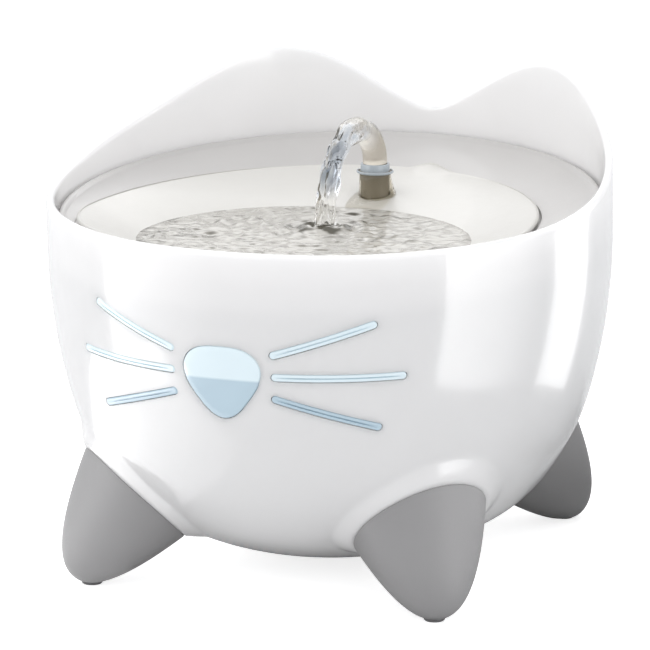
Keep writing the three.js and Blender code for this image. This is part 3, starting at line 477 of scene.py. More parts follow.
def along(tree, vector, direction):
    """How far a place lies along a level direction."""
    made = node(tree, "ShaderNodeVectorMath", operation="DOT_PRODUCT")
    made.inputs[1].default_value = (math.cos(direction), math.sin(direction), 0)
    tree.links.new(vector, made.inputs[0])
    return made.outputs["Value"]


def combined(tree, operation, first, second):
    made = node(tree, "ShaderNodeMath", operation=operation)
    for socket, source in zip(made.inputs, (first, second)):
        if isinstance(source, float):
            socket.default_value = source
        else:
            tree.links.new(source, socket)
    return made.outputs["Value"]


def blend(tree, value, first, second):
    """Mixes two colours, each a colour or another node's output."""
    made = node(tree, "ShaderNodeMix", data_type="RGBA")
    for letter, source in (("A", first), ("B", second)):
        socket = next(s for s in made.inputs if s.type == "RGBA" and s.name == letter)
        if isinstance(source, tuple):
            socket.default_value = (*source, 1)
        else:
            tree.links.new(source, socket)
    tree.links.new(value, next(s for s in made.inputs if s.name == "Factor" and s.type == "VALUE"))
    return next(o for o in made.outputs if o.type == "RGBA")


def scaled(colour, share):
    return tuple(min(part * share, 1) for part in colour)


def coat_with(tree, shader, colour, roughness):
    """Feeds a colour and a roughness to the shader."""
    tree.links.new(colour, shader.inputs["Base Color"])
    tree.links.new(roughness, shader.inputs["Roughness"])


def bump(tree, shader, height, strength, distance):
    made = node(tree, "ShaderNodeBump", Strength=strength, Distance=distance)
    tree.links.new(height, made.inputs["Height"])
    tree.links.new(made.outputs["Normal"], shader.inputs["Normal"])


NOISE_RANGE = (0.3, 0.7)
CLOUD_SCALE = 38
LIGHT_REACH = 0.007
# Heights over which the windows change from wet to dry
WATER_LINE = (0.1087, 0.1099)
# Painted reflection and shade streaks on the pool: scale across and along the view, place on the ramp and
# share of the pale tint
PAINTED_STREAK_SCALES = (75.0, 190.0)
PAINTED_STREAK_STOPS = ((0.3, 0), (0.355, 0.35), (0.4, 0.78), (0.47, 0.94), (0.6, 1))
WATER_IOR = 1.33
FILM_IOR = 1.12
FILM_TINT = (0.99, 0.985, 0.97)
CLEAR_EDGE = (1.0, 1.0, 0.995)
LOW_STREAM = (0.985, 0.98, 0.965)


def moulded(name, colour, low, high, grain, depth, vary=0.03, coat=0.0, strength=0.5, lit_through=0.0):
    """Moulded plastic or rubber: faint cloudiness in the colour, grain in the gloss and in the relief."""
    material, tree, shader = tree_of(name)
    cloud = spread(tree, noise(tree, CLOUD_SCALE, 4), 0, 1)
    shade = blend(tree, cloud, scaled(colour, 1 - vary), scaled(colour, 1 + vary))
    coat_with(tree, shader, shade, spread(tree, noise(tree, grain * 0.4, 3), low, high))
    set_inputs(shader, Coat_Weight=coat, Coat_Roughness=0.05, Subsurface_Weight=lit_through)
    set_inputs(shader, Subsurface_Radius=(1, 1, 1), Subsurface_Scale=LIGHT_REACH)
    bump(tree, shader, noise(tree, grain, 2), strength, depth)
    return material


def window_material():
    """Pale blue plastic, deeper below the tank's water line."""
    c = colours()
    material, tree, shader = tree_of("window_plastic")
    dry = part_of(tree, place_in(tree), "Z", *WATER_LINE)
    cloud = spread(tree, noise(tree, 45, 3), 0, 1)
    wet = blend(tree, cloud, scaled(c.window, 0.95), tuple(c.window))
    shade = blend(tree, dry, wet, tuple(c.window_dry))
    coat_with(tree, shader, shade, spread(tree, noise(tree, 300, 2), 0.1, 0.16))
    set_inputs(shader, Coat_Weight=0.4)
    bump(tree, shader, noise(tree, 500, 2), 0.1, 0.0001)
    return material


def water_finish(name, strength, scale, depth, clear=1.0):
    material, tree, shader = tree_of(name)
    set_inputs(shader, IOR=WATER_IOR, Transmission_Weight=clear)
    bump(tree, shader, noise(tree, scale, 2), strength, depth)
    return material, tree, shader


def steepness(tree, first, last):
    """0 to 1 as the surface tilts away from level."""
    return part_of(tree, node(tree, "ShaderNodeNewGeometry").outputs["Normal"], "Z", first, last)


def pool_material():
    """Rippling water with painted reflection and shade: pale water with grey painted streaks, and painted
    shade at both ends and on steep slopes.
    """
    c = colours()
    material, tree, shader = water_finish("water", 0.5, 240, 0.0005, 0.55)
    across = along(tree, place_in(tree), CAMERA_TURN)
    deep = along(tree, place_in(tree), CAMERA_TURN + TURN / 4)
    stretched = node(tree, "ShaderNodeCombineXYZ")
    for key, value, scale in zip("XY", (across, deep), PAINTED_STREAK_SCALES):
        tree.links.new(combined(tree, "MULTIPLY", value, scale), stretched.inputs[key])
    # Painted reflection and shade: grey streaks stretched along the view
    streaks = node(tree, "ShaderNodeTexNoise", Scale=1.0, Detail=4.0, Roughness=0.62, Distortion=1.1)
    tree.links.new(stretched.outputs["Vector"], streaks.inputs["Vector"])
    # Painted shade: the streaks darken toward both ends of the pool
    ends = ranged(tree, combined(tree, "ABSOLUTE", across, 0.0), 0.05, 0.076, 0.0, 0.1)
    ramp = node(tree, "ShaderNodeValToRGB")
    tree.links.new(combined(tree, "SUBTRACT", streaks.outputs["Fac"], ends), ramp.inputs["Fac"])
    stops = ramp.color_ramp.elements
    stops[0].position, stops[1].position = PAINTED_STREAK_STOPS[0][0], PAINTED_STREAK_STOPS[-1][0]
    for place_on_ramp, _ in PAINTED_STREAK_STOPS[1:-1]:
        stops.new(place_on_ramp)
    for stop, (_, share) in zip(stops, PAINTED_STREAK_STOPS):
        stop.color = (*(d + (w - d) * share for d, w in zip(c.water_deep, c.water)), 1)
    # Painted shade: steep ripples take the dark tint
    shade = blend(tree, steepness(tree, 0.975, 0.9), ramp.outputs["Color"], tuple(c.water_deep))
    coat_with(tree, shader, shade, spread(tree, noise(tree, 80, 2), 0.0, 0.03))
    return material


def film_material():
    """Thin clear water with painted shade where it runs down steeply."""
    material, tree, shader = water_finish("film_water", 0.4, 240, 0.0004)
    # Painted shade on steep slopes of the thin water
    shade = blend(tree, steepness(tree, 0.85, 0.3), FILM_TINT, tuple(colours().water_thin))
    coat_with(tree, shader, shade, spread(tree, noise(tree, 80, 2), 0.0, 0.03))
    set_inputs(shader, IOR=FILM_IOR)
    return material


def stream_material():
    """Falling water: a painted warm refraction of the dish above the spout, then a painted bluish shade in
    the middle, then clear.
    """
    c = colours()
    material, tree, shader = water_finish("stream_water", 0.5, 230, 0.0005)
    place = place_in(tree)
    spout_y = SPOUT_FROM_AXIS + float(FRAME_SHIFT[1])
    # Painted refraction of the cream dish in the water column above the spout
    column = part_of(tree, place, "Y", spout_y - 0.016, spout_y - 0.0085)
    low = part_of(tree, place, "Z", 0.172, 0.163)
    edge = node(tree, "ShaderNodeLayerWeight", Blend=0.35).outputs["Facing"]
    patchy = spread(tree, noise(tree, 150, 3, 0.6), 0, 1)
    # Painted shade and reflection: a patchy blue-grey core, kept off the edges
    core = blend(tree, patchy, tuple(c.core), scaled(c.core, 1.25))
    glassy = blend(tree, ranged(tree, edge, 0.12, 0.4), core, CLEAR_EDGE)
    falling = blend(tree, low, glassy, LOW_STREAM)
    shade = blend(tree, column, falling, tuple(c.column))
    coat_with(tree, shader, shade, ranged(tree, column, 0.0, 1.0, 0.01, 0.3))
    return material


def metal(name, colour, low, high):
    material, tree, shader = tree_of(name)
    set_inputs(shader, Metallic=1.0)
    grain = spread(tree, noise(tree, 240, 4), 0, 1)
    shade = blend(tree, grain, scaled(colour, 0.92), colour)
    coat_with(tree, shader, shade, spread(tree, noise(tree, 900, 3), low, high))
    bump(tree, shader, noise(tree, 1500, 2), 0.2, 0.00004)
    return material


def foam_material():
    material, tree, shader = tree_of("foam")
    cells = node(tree, "ShaderNodeTexVoronoi", Scale=700)
    tree.links.new(place_in(tree), cells.inputs["Vector"])
    shade = blend(tree, cells.outputs["Distance"], (0.02, 0.021, 0.023), (0.09, 0.093, 0.1))
    coat_with(tree, shader, shade, spread(tree, noise(tree, 500, 3), 0.85, 1.0))
    bump(tree, shader, cells.outputs["Distance"], 0.9, 0.0008)
    return material


# Moulded finishes: colour, lowest and highest roughness, scale and depth of the grain, and what isn't plain
MOULDED = {
    "shell_plastic": (
        "shell", 0.16, 0.2, 900, 0.00002, {"vary": 0.006, "coat": 0.35, "strength": 0.08, "lit_through": 1.0}
    ),
    "tray_plastic": ("tray", 0.3, 0.38, 2200, 0.00005, {"vary": 0.012, "coat": 0.1, "strength": 0.2}),
    "dish_plastic": ("dish", 0.34, 0.42, 800, 0.00003, {"vary": 0.01, "coat": 0.1, "strength": 0.1}),
    "foot_plastic": ("foot", 0.5, 0.6, 2600, 0.00012, {"vary": 0.02, "strength": 0.35}),
    "pad_rubber": ((0.2, 0.198, 0.2), 0.75, 0.9, 1800, 0.0002, {}),
    # Dark olive plastic for the spout's stem and the groove in its flange: painted shade in place of the
    # shadow under the flange
    "stem_plastic": (
        (0.31, 0.285, 0.24), 0.25, 0.35, 700, 0.0001, {"vary": 0.12, "coat": 0.3, "strength": 0.2}
    ),
    "spout_plastic": ("spout", 0.22, 0.3, 900, 0.00003, {"vary": 0.02, "coat": 0.3, "strength": 0.15}),
    "hose_rubber": ((0.6, 0.63, 0.65), 0.4, 0.5, 700, 0.0001, {}),
    "pump_plastic": ("dark", 0.42, 0.55, 2400, 0.00012, {"vary": 0.05}),
    "white_plastic": ((0.8, 0.8, 0.79), 0.3, 0.4, 1500, 0.00005, {}),
    "cup_rubber": ((0.02, 0.02, 0.021), 0.6, 0.75, 1200, 0.0001, {}),
    "basket_plastic": ((0.72, 0.75, 0.77), 0.3, 0.4, 1500, 0.00005, {}),
    "lead_rubber": ((0.02, 0.02, 0.022), 0.45, 0.55, 2000, 0.0001, {}),
}
MATERIALS = {}


def dress(piece, slot_name, body, *nodes, finish=None):
    """Gives a piece its material, named by its slot unless a finish is given, puts it on its body and hides
    the nodes that it stands for.
    """
    piece.data.materials.clear()
    piece.data.materials.append(MATERIALS[finish or slot_name])
    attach(piece, body)
    if nodes:
        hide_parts(*nodes)
    return piece


class FOUNTAIN_OT_materials(bpy.types.Operator):
    """Make every finish as node materials"""

    bl_idname = "fountain.materials"
    bl_label = "Materials"

    def execute(self, context):
        for name, (colour, low, high, grain, depth, other) in MOULDED.items():
            if isinstance(colour, str):
                colour = getattr(colours(), colour)
            MATERIALS[name] = moulded(name, colour, low, high, grain, depth, **other)
        MATERIALS.update(
            steel=metal("steel", (0.5, 0.52, 0.54), 0.18, 0.3),
            foam=foam_material(),
            window_plastic=window_material(),
            water=pool_material(),
            film=film_material(),
            stream=stream_material(),
        )
        return {"FINISHED"}


# Bowl
ROUND = 432
BELLY_TOP = 0.146
BELLY_RINGS = 110
LEDGE_FOOT = 0.148
LIFT_STEP = 0.001


def wall_offset(z, offset):
    """Radius and height of the bowl's outline moved square to itself."""
    slope = bowl_slope(z)
    length = np.hypot(1, slope)
    return bowl_at(z) + offset / length, z - offset * slope / length


def inner_radius(z):
    s = sizes()
    share = (z - s.ledge_height) / (s.ear_height - s.ledge_height)
    return s.wall_at_tray + (s.wall_at_ear - s.wall_at_tray) * share


def bowl_mesh():
    s = sizes()
    angle = around(ROUND)
    rings = []

    def ring(radius, z):
        rings.append(on_bowl(angle, radius, z))

    low = s.base_height + 0.0006
    heights = low + (BELLY_TOP - low) * np.linspace(0, 1, BELLY_RINGS) ** 1.5
    base_radius = float(bowl_at(s.base_height))
    ring(base_radius * 0.35, s.base_height)
    ring(base_radius * 0.99, s.base_height)
    for z in heights:
        base = on_bowl(angle, float(bowl_at(z)), z)
        lifted_radius, lifted_z = wall_offset(z, LIFT_STEP)
        outward = on_bowl(angle, float(lifted_radius), float(lifted_z)) - base
        rings.append(base + outward * (collar_lift(base) / LIFT_STEP)[:, None])
    near = rim_at(angle) - s.lip
    for share in np.linspace(0, 1, 13)[1:]:
        z = BELLY_TOP + (near - BELLY_TOP) * share
        ring(bowl_at(z), z)
    inner = inner_radius(near)
    middle, half = (bowl_at(near) + inner) / 2, (bowl_at(near) - inner) / 2
    for turn in np.linspace(0, math.pi, 11)[1:]:
        ring(middle + half * math.cos(turn), near + s.lip * math.sin(turn))
    for share in np.linspace(0, 1, 9)[1:]:
        z = near + (s.ledge_height - near) * share
        ring(inner_radius(z), z)
    ring(s.ledge_radius + 0.0003, s.ledge_height)
    ring(s.ledge_radius, s.ledge_height - 0.0003)
    ring(s.ledge_radius, s.ledge_height - 0.0026)
    ring(float(bowl_at(LEDGE_FOOT)) - s.wall, LEDGE_FOOT)
    for z in heights[::-2]:
        radius, height = wall_offset(z, -s.wall)
        if radius > base_radius * 0.9 and height < LEDGE_FOOT - 0.001:
            ring(float(radius), float(height))
    ring(base_radius * 0.6, s.base_height + s.wall)
    return ring_mesh("bowl", rings)


# Whiskers: start and end as a turn from the face in degrees and a height along the bowl's axis
WHISKERS = {
    "upper": ((10.8, 0.1309), (30.2, 0.1432)),
    "middle": ((11.0, 0.121), (36.0, 0.1195)),
    "lower": ((10.9, 0.111), (31.2, 0.0968)),
}
WHISKER_WIDTH = 0.0035
NOSE_TOP = 0.1338
NOSE_TALL = 0.0328
NOSE_HALF = 0.0174
NOSE_SHARES = [
    (0, 1), (0.52, 0.975), (0.85, 0.87), (1, 0.7), (0.93, 0.5), (0.78, 0.36), (0.61, 0.235), (0.43, 0.12),
    (0.23, 0.035), (0, 0),
]
WINDOW_GAP = 0.00018
WINDOW_BEVEL = 0.0007
NOSE_FACE = 0.006
WHISKER_FACE_SHARE = 0.46
WHISKER_CURVE = 1.004
# A pane's section from its back to its bevel: inward move and offset from the bowl's surface
PANE_LEVELS = [(0, -0.0028), (0, -0.0008), (0.00012, -0.0004), (0.0004, -0.00012), (WINDOW_BEVEL, -0.00004)]


def loop_through(points, count):
    """Evenly spaced points on a smooth closed curve through the given points."""
    points = np.asarray(points, float)
    n = len(points)
    t = np.linspace(0, n, 40 * n, endpoint=False)
    i = np.floor(t).astype(int)
    f = (t - i)[:, None]
    p0, p1, p2, p3 = (points[(i + k) % n] for k in (-1, 0, 1, 2))
    square, cube = 2 * p0 - 5 * p1 + 4 * p2 - p3, 3 * p1 - p0 - 3 * p2 + p3
    dense = 0.5 * (2 * p1 + (p2 - p0) * f + square * f**2 + cube * f**3)
    closed = np.vstack([dense, dense[:1]])
    run = np.concatenate([[0], np.cumsum(np.linalg.norm(np.diff(closed, axis=0), axis=1))])
    places = np.linspace(0, run[-1], count, endpoint=False)
    return np.stack([np.interp(places, run, closed[:, k]) for k in (0, 1)], -1)


def nose_outline(count=96):
    right = [(x * NOSE_HALF, (z - 0.5) * NOSE_TALL) for x, z in NOSE_SHARES]
    left = [(-x, z) for x, z in right[1:-1]]
    return loop_through(right + left[::-1], count)[::-1]


def whisker_outline(length, width, steps=10):
    turns = np.linspace(-math.pi / 2, math.pi / 2, steps)
    cap = np.stack([length / 2 + width / 2 * np.cos(turns), width / 2 * np.sin(turns)], -1)
    count = 14
    top = np.stack([np.linspace(length / 2, -length / 2, count)[1:-1], np.full(count - 2, width / 2)], -1)
    return np.vstack([cap, top, -cap, -top])


def shrunk(outline, distance):
    """The outline moved inward by a distance, square to itself."""
    along = np.roll(outline, -1, 0) - np.roll(outline, 1, 0)
    along /= np.linalg.norm(along, axis=1)[:, None]
    return outline + np.stack([-along[:, 1], along[:, 0]], -1) * distance


def nose_surface(flat, offset):
    """From the plane of the nose window's outline to the bowl's surface."""
    z = NOSE_TOP - NOSE_TALL / 2 + flat[:, 1]
    radius = bowl_at(z) + offset
    return on_bowl(np.arcsin(np.clip(flat[:, 0] / radius, -1, 1)), radius, z)


def whisker(start, end, side):
    """A whisker's outline, and the function from the outline's plane to the bowl's surface."""
    a, b = (upright_bowl(math.radians(turn), float(bowl_at(z)), z) for turn, z in (start, end))
    length = float(np.linalg.norm(b - a)) * WHISKER_CURVE
    tilt = math.atan2(end[1] - start[1], math.hypot(*(b - a)[:2]))

    def surface(flat, offset):
        run = flat[:, 0] / length + 0.5
        z = start[1] + (end[1] - start[1]) * run + flat[:, 1] * math.cos(tilt)
        radius = bowl_at(z) + offset
        turn = np.radians(start[0] + (end[0] - start[0]) * run)
        turn -= flat[:, 1] * math.sin(tilt) / radius
        return on_bowl(turn * side, radius, z)

    return whisker_outline(length, WHISKER_WIDTH), surface


def window_places():
    """For each window: its name, its outline, and the function from the outline's plane to the bowl."""
    yield "nose_window", nose_outline(), nose_surface
    for side_name, side in SIDES.items():
        for name, (start, end) in WHISKERS.items():
            yield (f"whisker_window_{side_name}_{name}", *whisker(start, end, side))


def filled_outline(name, outline, surface, levels):
    """A closed piece from an outline: levels are rows of inward move and offset from the bowl's surface."""
    rings = [surface(shrunk(outline, move), offset) for move, offset in levels]
    return oriented(ring_mesh(name, rings, sharp_degrees=50))


def oriented(piece):
    """Turns the faces of a closed mesh outward."""
    mesh = piece.data
    volume = 0.0
    points = [v.co for v in mesh.vertices]
    for p in mesh.polygons:
        first = points[p.vertices[0]]
        for k in range(1, len(p.vertices) - 1):
            volume += first.dot(points[p.vertices[k]].cross(points[p.vertices[k + 1]]))
    if volume < 0:
        mesh.flip_normals()
    return piece


BOSS_WALL = 0.00072
BOSS_CAP = 0.002
POST_STAND_OFF = 0.0002


def floor_under(x, y):
    """Height of the tank's floor under a place."""
    low, high = 0.004, 0.09
    for _ in range(24):
        middle = (low + high) / 2
        inside = bowl_clearance(np.array([[x, y, middle]]))[0] < -sizes().wall
        low, high = (low, middle) if inside else (middle, high)
    return high


def inner_posts():
    """Posts that carry the pump's cups, and the bosses that the foot screws go into."""
    made = []
    for node_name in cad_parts:
        if not node_name.startswith(("pump_cup", "foot_screw")):
            continue
        low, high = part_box(node_name)
        x, y, _ = np.array((low + high) / 2) - FRAME_SHIFT
        radius = (high.x - low.x) / 2
        bottom = floor_under(x, y) - sizes().wall * 0.5
        if node_name.startswith("pump_cup"):
            top = low.z - POST_STAND_OFF
        else:
            top = high.z + BOSS_CAP
        made.append(oriented(post(node_name + "_post", radius + BOSS_WALL, bottom, top, x, y)))
    return made


class FOUNTAIN_OT_bowl(bpy.types.Operator):
    """Make the bowl with its ears, foot shoulders and window holes"""

    bl_idname = "fountain.bowl"
    bl_label = "Bowl"

    def execute(self, context):
        bowl = bowl_mesh()
        through_wall = [(-WINDOW_GAP, -0.008), (-WINDOW_GAP, 0.004)]
        cutters = []
        for name, outline, surface in window_places():
            cutters.append(filled_outline(name + "_cut", outline, surface, through_wall))
        combine(bowl, cutters)
        combine(bowl, inner_posts(), "UNION")
        dress(bowl, "shell_plastic", "bowl", "bowl_shell")
        return {"FINISHED"}


class FOUNTAIN_OT_windows(bpy.types.Operator):
    """Make the nose window and the whisker windows with bevelled edges"""

    bl_idname = "fountain.windows"
    bl_label = "Windows"

    def execute(self, context):
        for name, outline, surface in window_places():
            face = NOSE_FACE if name == "nose_window" else WHISKER_WIDTH * WHISKER_FACE_SHARE
            inward = [WINDOW_BEVEL + (face - WINDOW_BEVEL) * share for share in (0.4, 0.8)]
            levels = PANE_LEVELS + [(move, -0.00002) for move in inward]
            pane = filled_outline("pane_" + name, outline, surface, levels)
            dress(pane, "window_plastic", "bowl", name)
        return {"FINISHED"}


class FOUNTAIN_OT_feet(bpy.types.Operator):
    """Make the four feet that lean out from the bowl"""

    bl_idname = "fountain.feet"
    bl_label = "Feet"

    def execute(self, context):
        for name, shape in FEET.items():
            rings = self.leg_rings(shape)
            dress(oriented(ring_mesh("leg_" + name, rings)), "foot_plastic", "bowl", "foot_" + name)
            dress(self.pad(name, np.concatenate(rings)), "pad_rubber", "bowl", "foot_pad_" + name)
            dress(self.screw(name, shape), "steel", "bowl", "foot_screw_" + name)
        return {"FINISHED"}

    def leg_rings(self, shape):
        """Rings from the foot's tip up to the bowl, and a little way into it."""
        turns = around(FOOT_ROUND)
        low, high = np.full(FOOT_ROUND, 0.008), np.full(FOOT_ROUND, 0.08)
        for _ in range(30):
            middle = (low + high) / 2
            inside = bowl_clearance(shape.points(middle, turns)) < COLLAR_LIFT + 0.0002
            high = np.where(inside, middle, high)
            low = np.where(inside, low, middle)
        rings = [shape.points(low * share * 0.985, turns) for share in np.linspace(0.004, 1, 40) ** 1.6]
        rings.append(shape.points(low * 0.993, turns, 0.00012))
        rings.append(shape.points(low, turns, 0.0005))
        rings.append(shape.points(low + 0.0025, turns, 0.0012))
        for ring in rings:
            ring[:, 2] = np.maximum(ring[:, 2], FOOT_FLAT)
        return rings

    def pad(self, name, points):
        """A flat disc under the lowest part of the foot."""
        lowest = points[points[:, 2] < points[:, 2].min() + 0.0003].mean(0)
        rows = [(PAD_RADIUS * 0.5, 0), (PAD_RADIUS - 0.0005, 0), (PAD_RADIUS, 0.0005), (PAD_RADIUS, PAD_TALL)]
        return oriented(lathe("pad_" + name, rows, lowest[:2]))

    def screw(self, name, shape):
        """A screw with a round head, set where the foot covers its head."""
        low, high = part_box("foot_screw_" + name)
        x, y, bottom = np.array(((low.x + high.x) / 2, (low.y + high.y) / 2, low.z)) - FRAME_SHIFT
        radius = (high.x - low.x) / 2
        turns = around(16)
        edge = np.stack([x + radius * np.cos(turns), y + radius * np.sin(turns), np.zeros(16)], -1)
        while shape.distance(edge + [0, 0, bottom]).max() > -HEAD_COVER and bottom < high.z - 3 * HEAD_TALL:
            bottom += 0.0005
        shank = radius * SHANK_SHARE
        top = bottom + HEAD_TALL
        rows = [(radius * 0.4, bottom), (radius * 0.9, bottom), (radius, bottom + 0.0003), (radius, top)]
        rows += [(shank, top), (shank, high.z - 0.001), (shank * 0.4, high.z)]
        return oriented(lathe("screw_" + name, rows, (x, y), 32))


def bowl_clearance(points):
    """Distance of points outside the bowl's plain outline."""
    p = unlean(points)
    reach = np.hypot(p[:, 0], p[:, 1] / LENGTHWISE)
    z = np.clip(p[:, 2], 0.006, 0.2)
    return (reach - bowl_at(z)) / np.hypot(1, bowl_slope(z))


# Dish, tray and water
DISH_CENTRE_Y = -0.0496
POOL_CENTRE_Y = -0.0472
DISH_THICK = 0.003
TAB_PLACE = 0.0144
TAB_HALF = 0.013
TAB_RISE = 0.0031
TAB_FADE = 0.25
BEACH_SLOPE_SHARE = 0.6
SPOUT_HOLE = 0.0071
SLOTS = 5
SLOT_PITCH = 0.006
SLOT_WIDTH = 0.003
SLOT_Y = (-0.131, -0.108)
SLOT_HEIGHT = 0.003
PEG_X = 0.0355
PEG_Y = -0.095
PEG_RADIUS = 0.004
PEG_BOTTOM = 0.106
COLLAR_RADIUS = 0.010
COLLAR_BOTTOM = 0.141
UNDER_SHARES = (1.97, 1.8, 1.6, 1.4, 1.2, 1.08, 0.95, 0.8, 0.6, 0.4, 0.2, 0.07)


def oval(half_width, front, back, centre_y, t, grow=0.0):
    length = np.where(np.cos(t) > 0, front, back)
    return (half_width + grow) * np.sin(t), centre_y - (length + grow) * np.cos(t)


def dish_edge(t, grow=0.0):
    s = sizes()
    return oval(s.dish_half_width, s.dish_front, s.dish_back, DISH_CENTRE_Y, t, grow)


def pool_edge(t):
    s = sizes()
    return oval(s.pool_half_width, s.pool_front, s.pool_back, POOL_CENTRE_Y, t)


def dish_height(share):
    s = sizes()
    drop = s.dish_height - s.pool_height
    near = s.dish_height - drop * share * (BEACH_SLOPE_SHARE + (1 - BEACH_SLOPE_SHARE) * share)
    left = 2 - share
    return np.where(share <= 1, near, s.pool_height - s.pool_depth * (1 - left * left))


def tab_at(x, t):
    place = np.abs(x - TAB_PLACE) / TAB_HALF
    rise = TAB_RISE * np.cos(math.pi / 2 * np.minimum(place, 1)) ** 2
    return np.where(np.cos(t) > 0, 0, rise)


def dish_point(t, share, lift=0.0):
    """Points of the dish's surface: share 0 is its edge, 1 the water line and 2 the middle of the pool."""
    t = np.asarray(t, float)
    share = np.broadcast_to(np.asarray(share, float), t.shape)
    edge_x, edge_y = dish_edge(t)
    pool_x, pool_y = pool_edge(t)
    near, far = np.minimum(share, 1), np.maximum(share - 1, 0)
    x = edge_x + (pool_x - edge_x) * near
    y = edge_y + (pool_y - edge_y) * near
    x = x - x * far
    y = y + (POOL_CENTRE_Y - y) * far
    tab = tab_at(edge_x, t) * np.maximum(0, 1 - share / TAB_FADE) ** 2
    return np.stack([x, y, dish_height(share) + tab + lift], -1)


def edge_point(t, grow, lift):
    x, y = dish_edge(t, grow)
    return np.stack([x, y, sizes().dish_height + tab_at(x, t) + lift], -1)


class FOUNTAIN_OT_dish(bpy.types.Operator):
    """Make the cream dish with its finger tab, overflow slots and spout collar"""

    bl_idname = "fountain.dish"
    bl_label = "Dish"

    def execute(self, context):
        t = around(ROUND)
        rings = [dish_point(t, share, -DISH_THICK) for share in UNDER_SHARES]
        rings.append(edge_point(t, -0.0006, -0.0029))
        for turn in np.linspace(-90, 90, 11):
            a = math.radians(turn)
            rings.append(edge_point(t, -0.0013 + 0.0013 * math.cos(a), -0.0014 + 0.0014 * math.sin(a)))
        for share in np.concatenate([np.linspace(0.03, 1, 34), np.linspace(1.03, 1.99, 24)]):
            rings.append(dish_point(t, share))
        dish = ring_mesh("dish", rings)
        combine(dish, [self.bore("spout_hole"), *(self.slot(i - (SLOTS - 1) / 2) for i in range(SLOTS))])
        drop = float(dish_point(np.array([math.pi]), 0.7)[0, 2])
        ring = post("dish_collar", COLLAR_RADIUS, COLLAR_BOTTOM, drop - 0.0018, 0, SPOUT_FROM_AXIS)
        combine(ring, [self.bore("collar_hole")])
        pegs = [post("dish_peg", PEG_RADIUS, PEG_BOTTOM, 0.143, x, PEG_Y) for x in (-PEG_X, PEG_X)]
        join(dish, [*pegs, ring])
        dress(dish, "dish_plastic", "dish", "drinking_dish")
        return {"FINISHED"}

    def bore(self, name):
        return post(name, SPOUT_HOLE, COLLAR_BOTTOM - 0.002, 0.17, 0, SPOUT_FROM_AXIS)

    def slot(self, step):
        """A block that cuts one overflow slot."""
        x, half = step * SLOT_PITCH, SLOT_WIDTH / 2
        corners = [
            (x + sx * half, SLOT_Y[sy], sizes().pool_height + sz * SLOT_HEIGHT)
            for sz in (0, 1) for sx, sy in ((-1, 0), (1, 0), (1, 1), (-1, 1))
        ]
        faces = [(3, 2, 1, 0), (4, 5, 6, 7), (0, 1, 5, 4), (1, 2, 6, 5), (2, 3, 7, 6), (3, 0, 4, 7)]
        return mesh_object("slot_cut", corners, faces)


TRAY_BEAD = 0.0012
TRAY_THICK = 0.0026
TRAY_STAND_OFF = 0.0012
TRAY_STEP = 0.0042
SEAT_GAP = 0.0005


def across_tray(angle):
    s = sizes()
    p = on_bowl(angle, s.tray_radius, s.tray_height)
    length = np.where(p[:, 1] < DISH_CENTRE_Y, s.dish_front, s.dish_back)
    return np.arctan2(p[:, 0] / s.dish_half_width, -(p[:, 1] - DISH_CENTRE_Y) / length)


class FOUNTAIN_OT_tray(bpy.types.Operator):
    """Make the grey tray between the bowl and the dish"""

    bl_idname = "fountain.tray"
    bl_label = "Tray"

    def execute(self, context):
        s = sizes()
        angle = around(ROUND)
        t = across_tray(angle)
        low = s.ledge_height + 0.0003
        start = on_bowl(angle, s.tray_radius - 2.8 * TRAY_BEAD, s.tray_height - TRAY_BEAD)
        x, y = dish_edge(t, TRAY_STAND_OFF)
        end_z = np.minimum(s.dish_height - TRAY_STAND_OFF - 0.001, start[:, 2] - 0.0003)
        end = np.stack([x, y, end_z], -1)
        fx, fy = dish_edge(t, TRAY_STAND_OFF - 0.0003)
        foot_z = np.minimum(end_z - 0.0003, s.dish_height - TRAY_STEP)
        foot = np.stack([fx, fy, foot_z], -1)

        def above_ledge(points):
            q = unlean(points)
            reach = np.hypot(q[:, 0], q[:, 1] / LENGTHWISE)
            q[:, 2] = np.where(reach > s.ledge_radius - TRAY_THICK, np.maximum(q[:, 2], low), q[:, 2])
            return lean(q)

        def seat(share, lift):
            return dish_point(t, share, lift - DISH_THICK - SEAT_GAP)

        down = np.array([0, 0, TRAY_THICK])
        rings = [on_bowl(angle, s.tray_radius, low), on_bowl(angle, s.tray_radius, s.tray_height - TRAY_BEAD)]
        middle, half = s.tray_radius - 1.2 * TRAY_BEAD, 1.2 * TRAY_BEAD
        for turn in np.linspace(0, math.pi * 0.75, 10)[1:]:
            z = s.tray_height - TRAY_BEAD + TRAY_BEAD * math.sin(turn)
            rings.append(on_bowl(angle, middle + half * math.cos(turn), z))
        rings += [start + (end - start) * share for share in np.linspace(0, 1, 16)]
        rings += [foot + (end - foot) * 0.5, foot]
        rings += [seat(0.08, 0), seat(0.3, 0), seat(0.3, -TRAY_THICK), seat(0.08, -TRAY_THICK)]
        rings.append(above_ledge(foot - down))
        for share in (0.75, 0.5, 0.25):
            rings.append(above_ledge(start + (end - start) * share - down))
        rings.append(on_bowl(angle, s.ledge_radius - 0.0003, low))
        tray = ring_mesh("tray", rings, closed=True)
        dress(tray, "tray_plastic", "tray", "tray_ring")
        return {"FINISHED"}


FLANGE_HEIGHT = 0.1657
FLANGE_RADIUS = 0.0085
FLANGE_THICK = 0.0012
UPSTAND_RADIUS = 0.0067
UPSTAND_BORE = 0.0056
UPSTAND_TOP = 0.1689
STEM_BOTTOM = 0.128


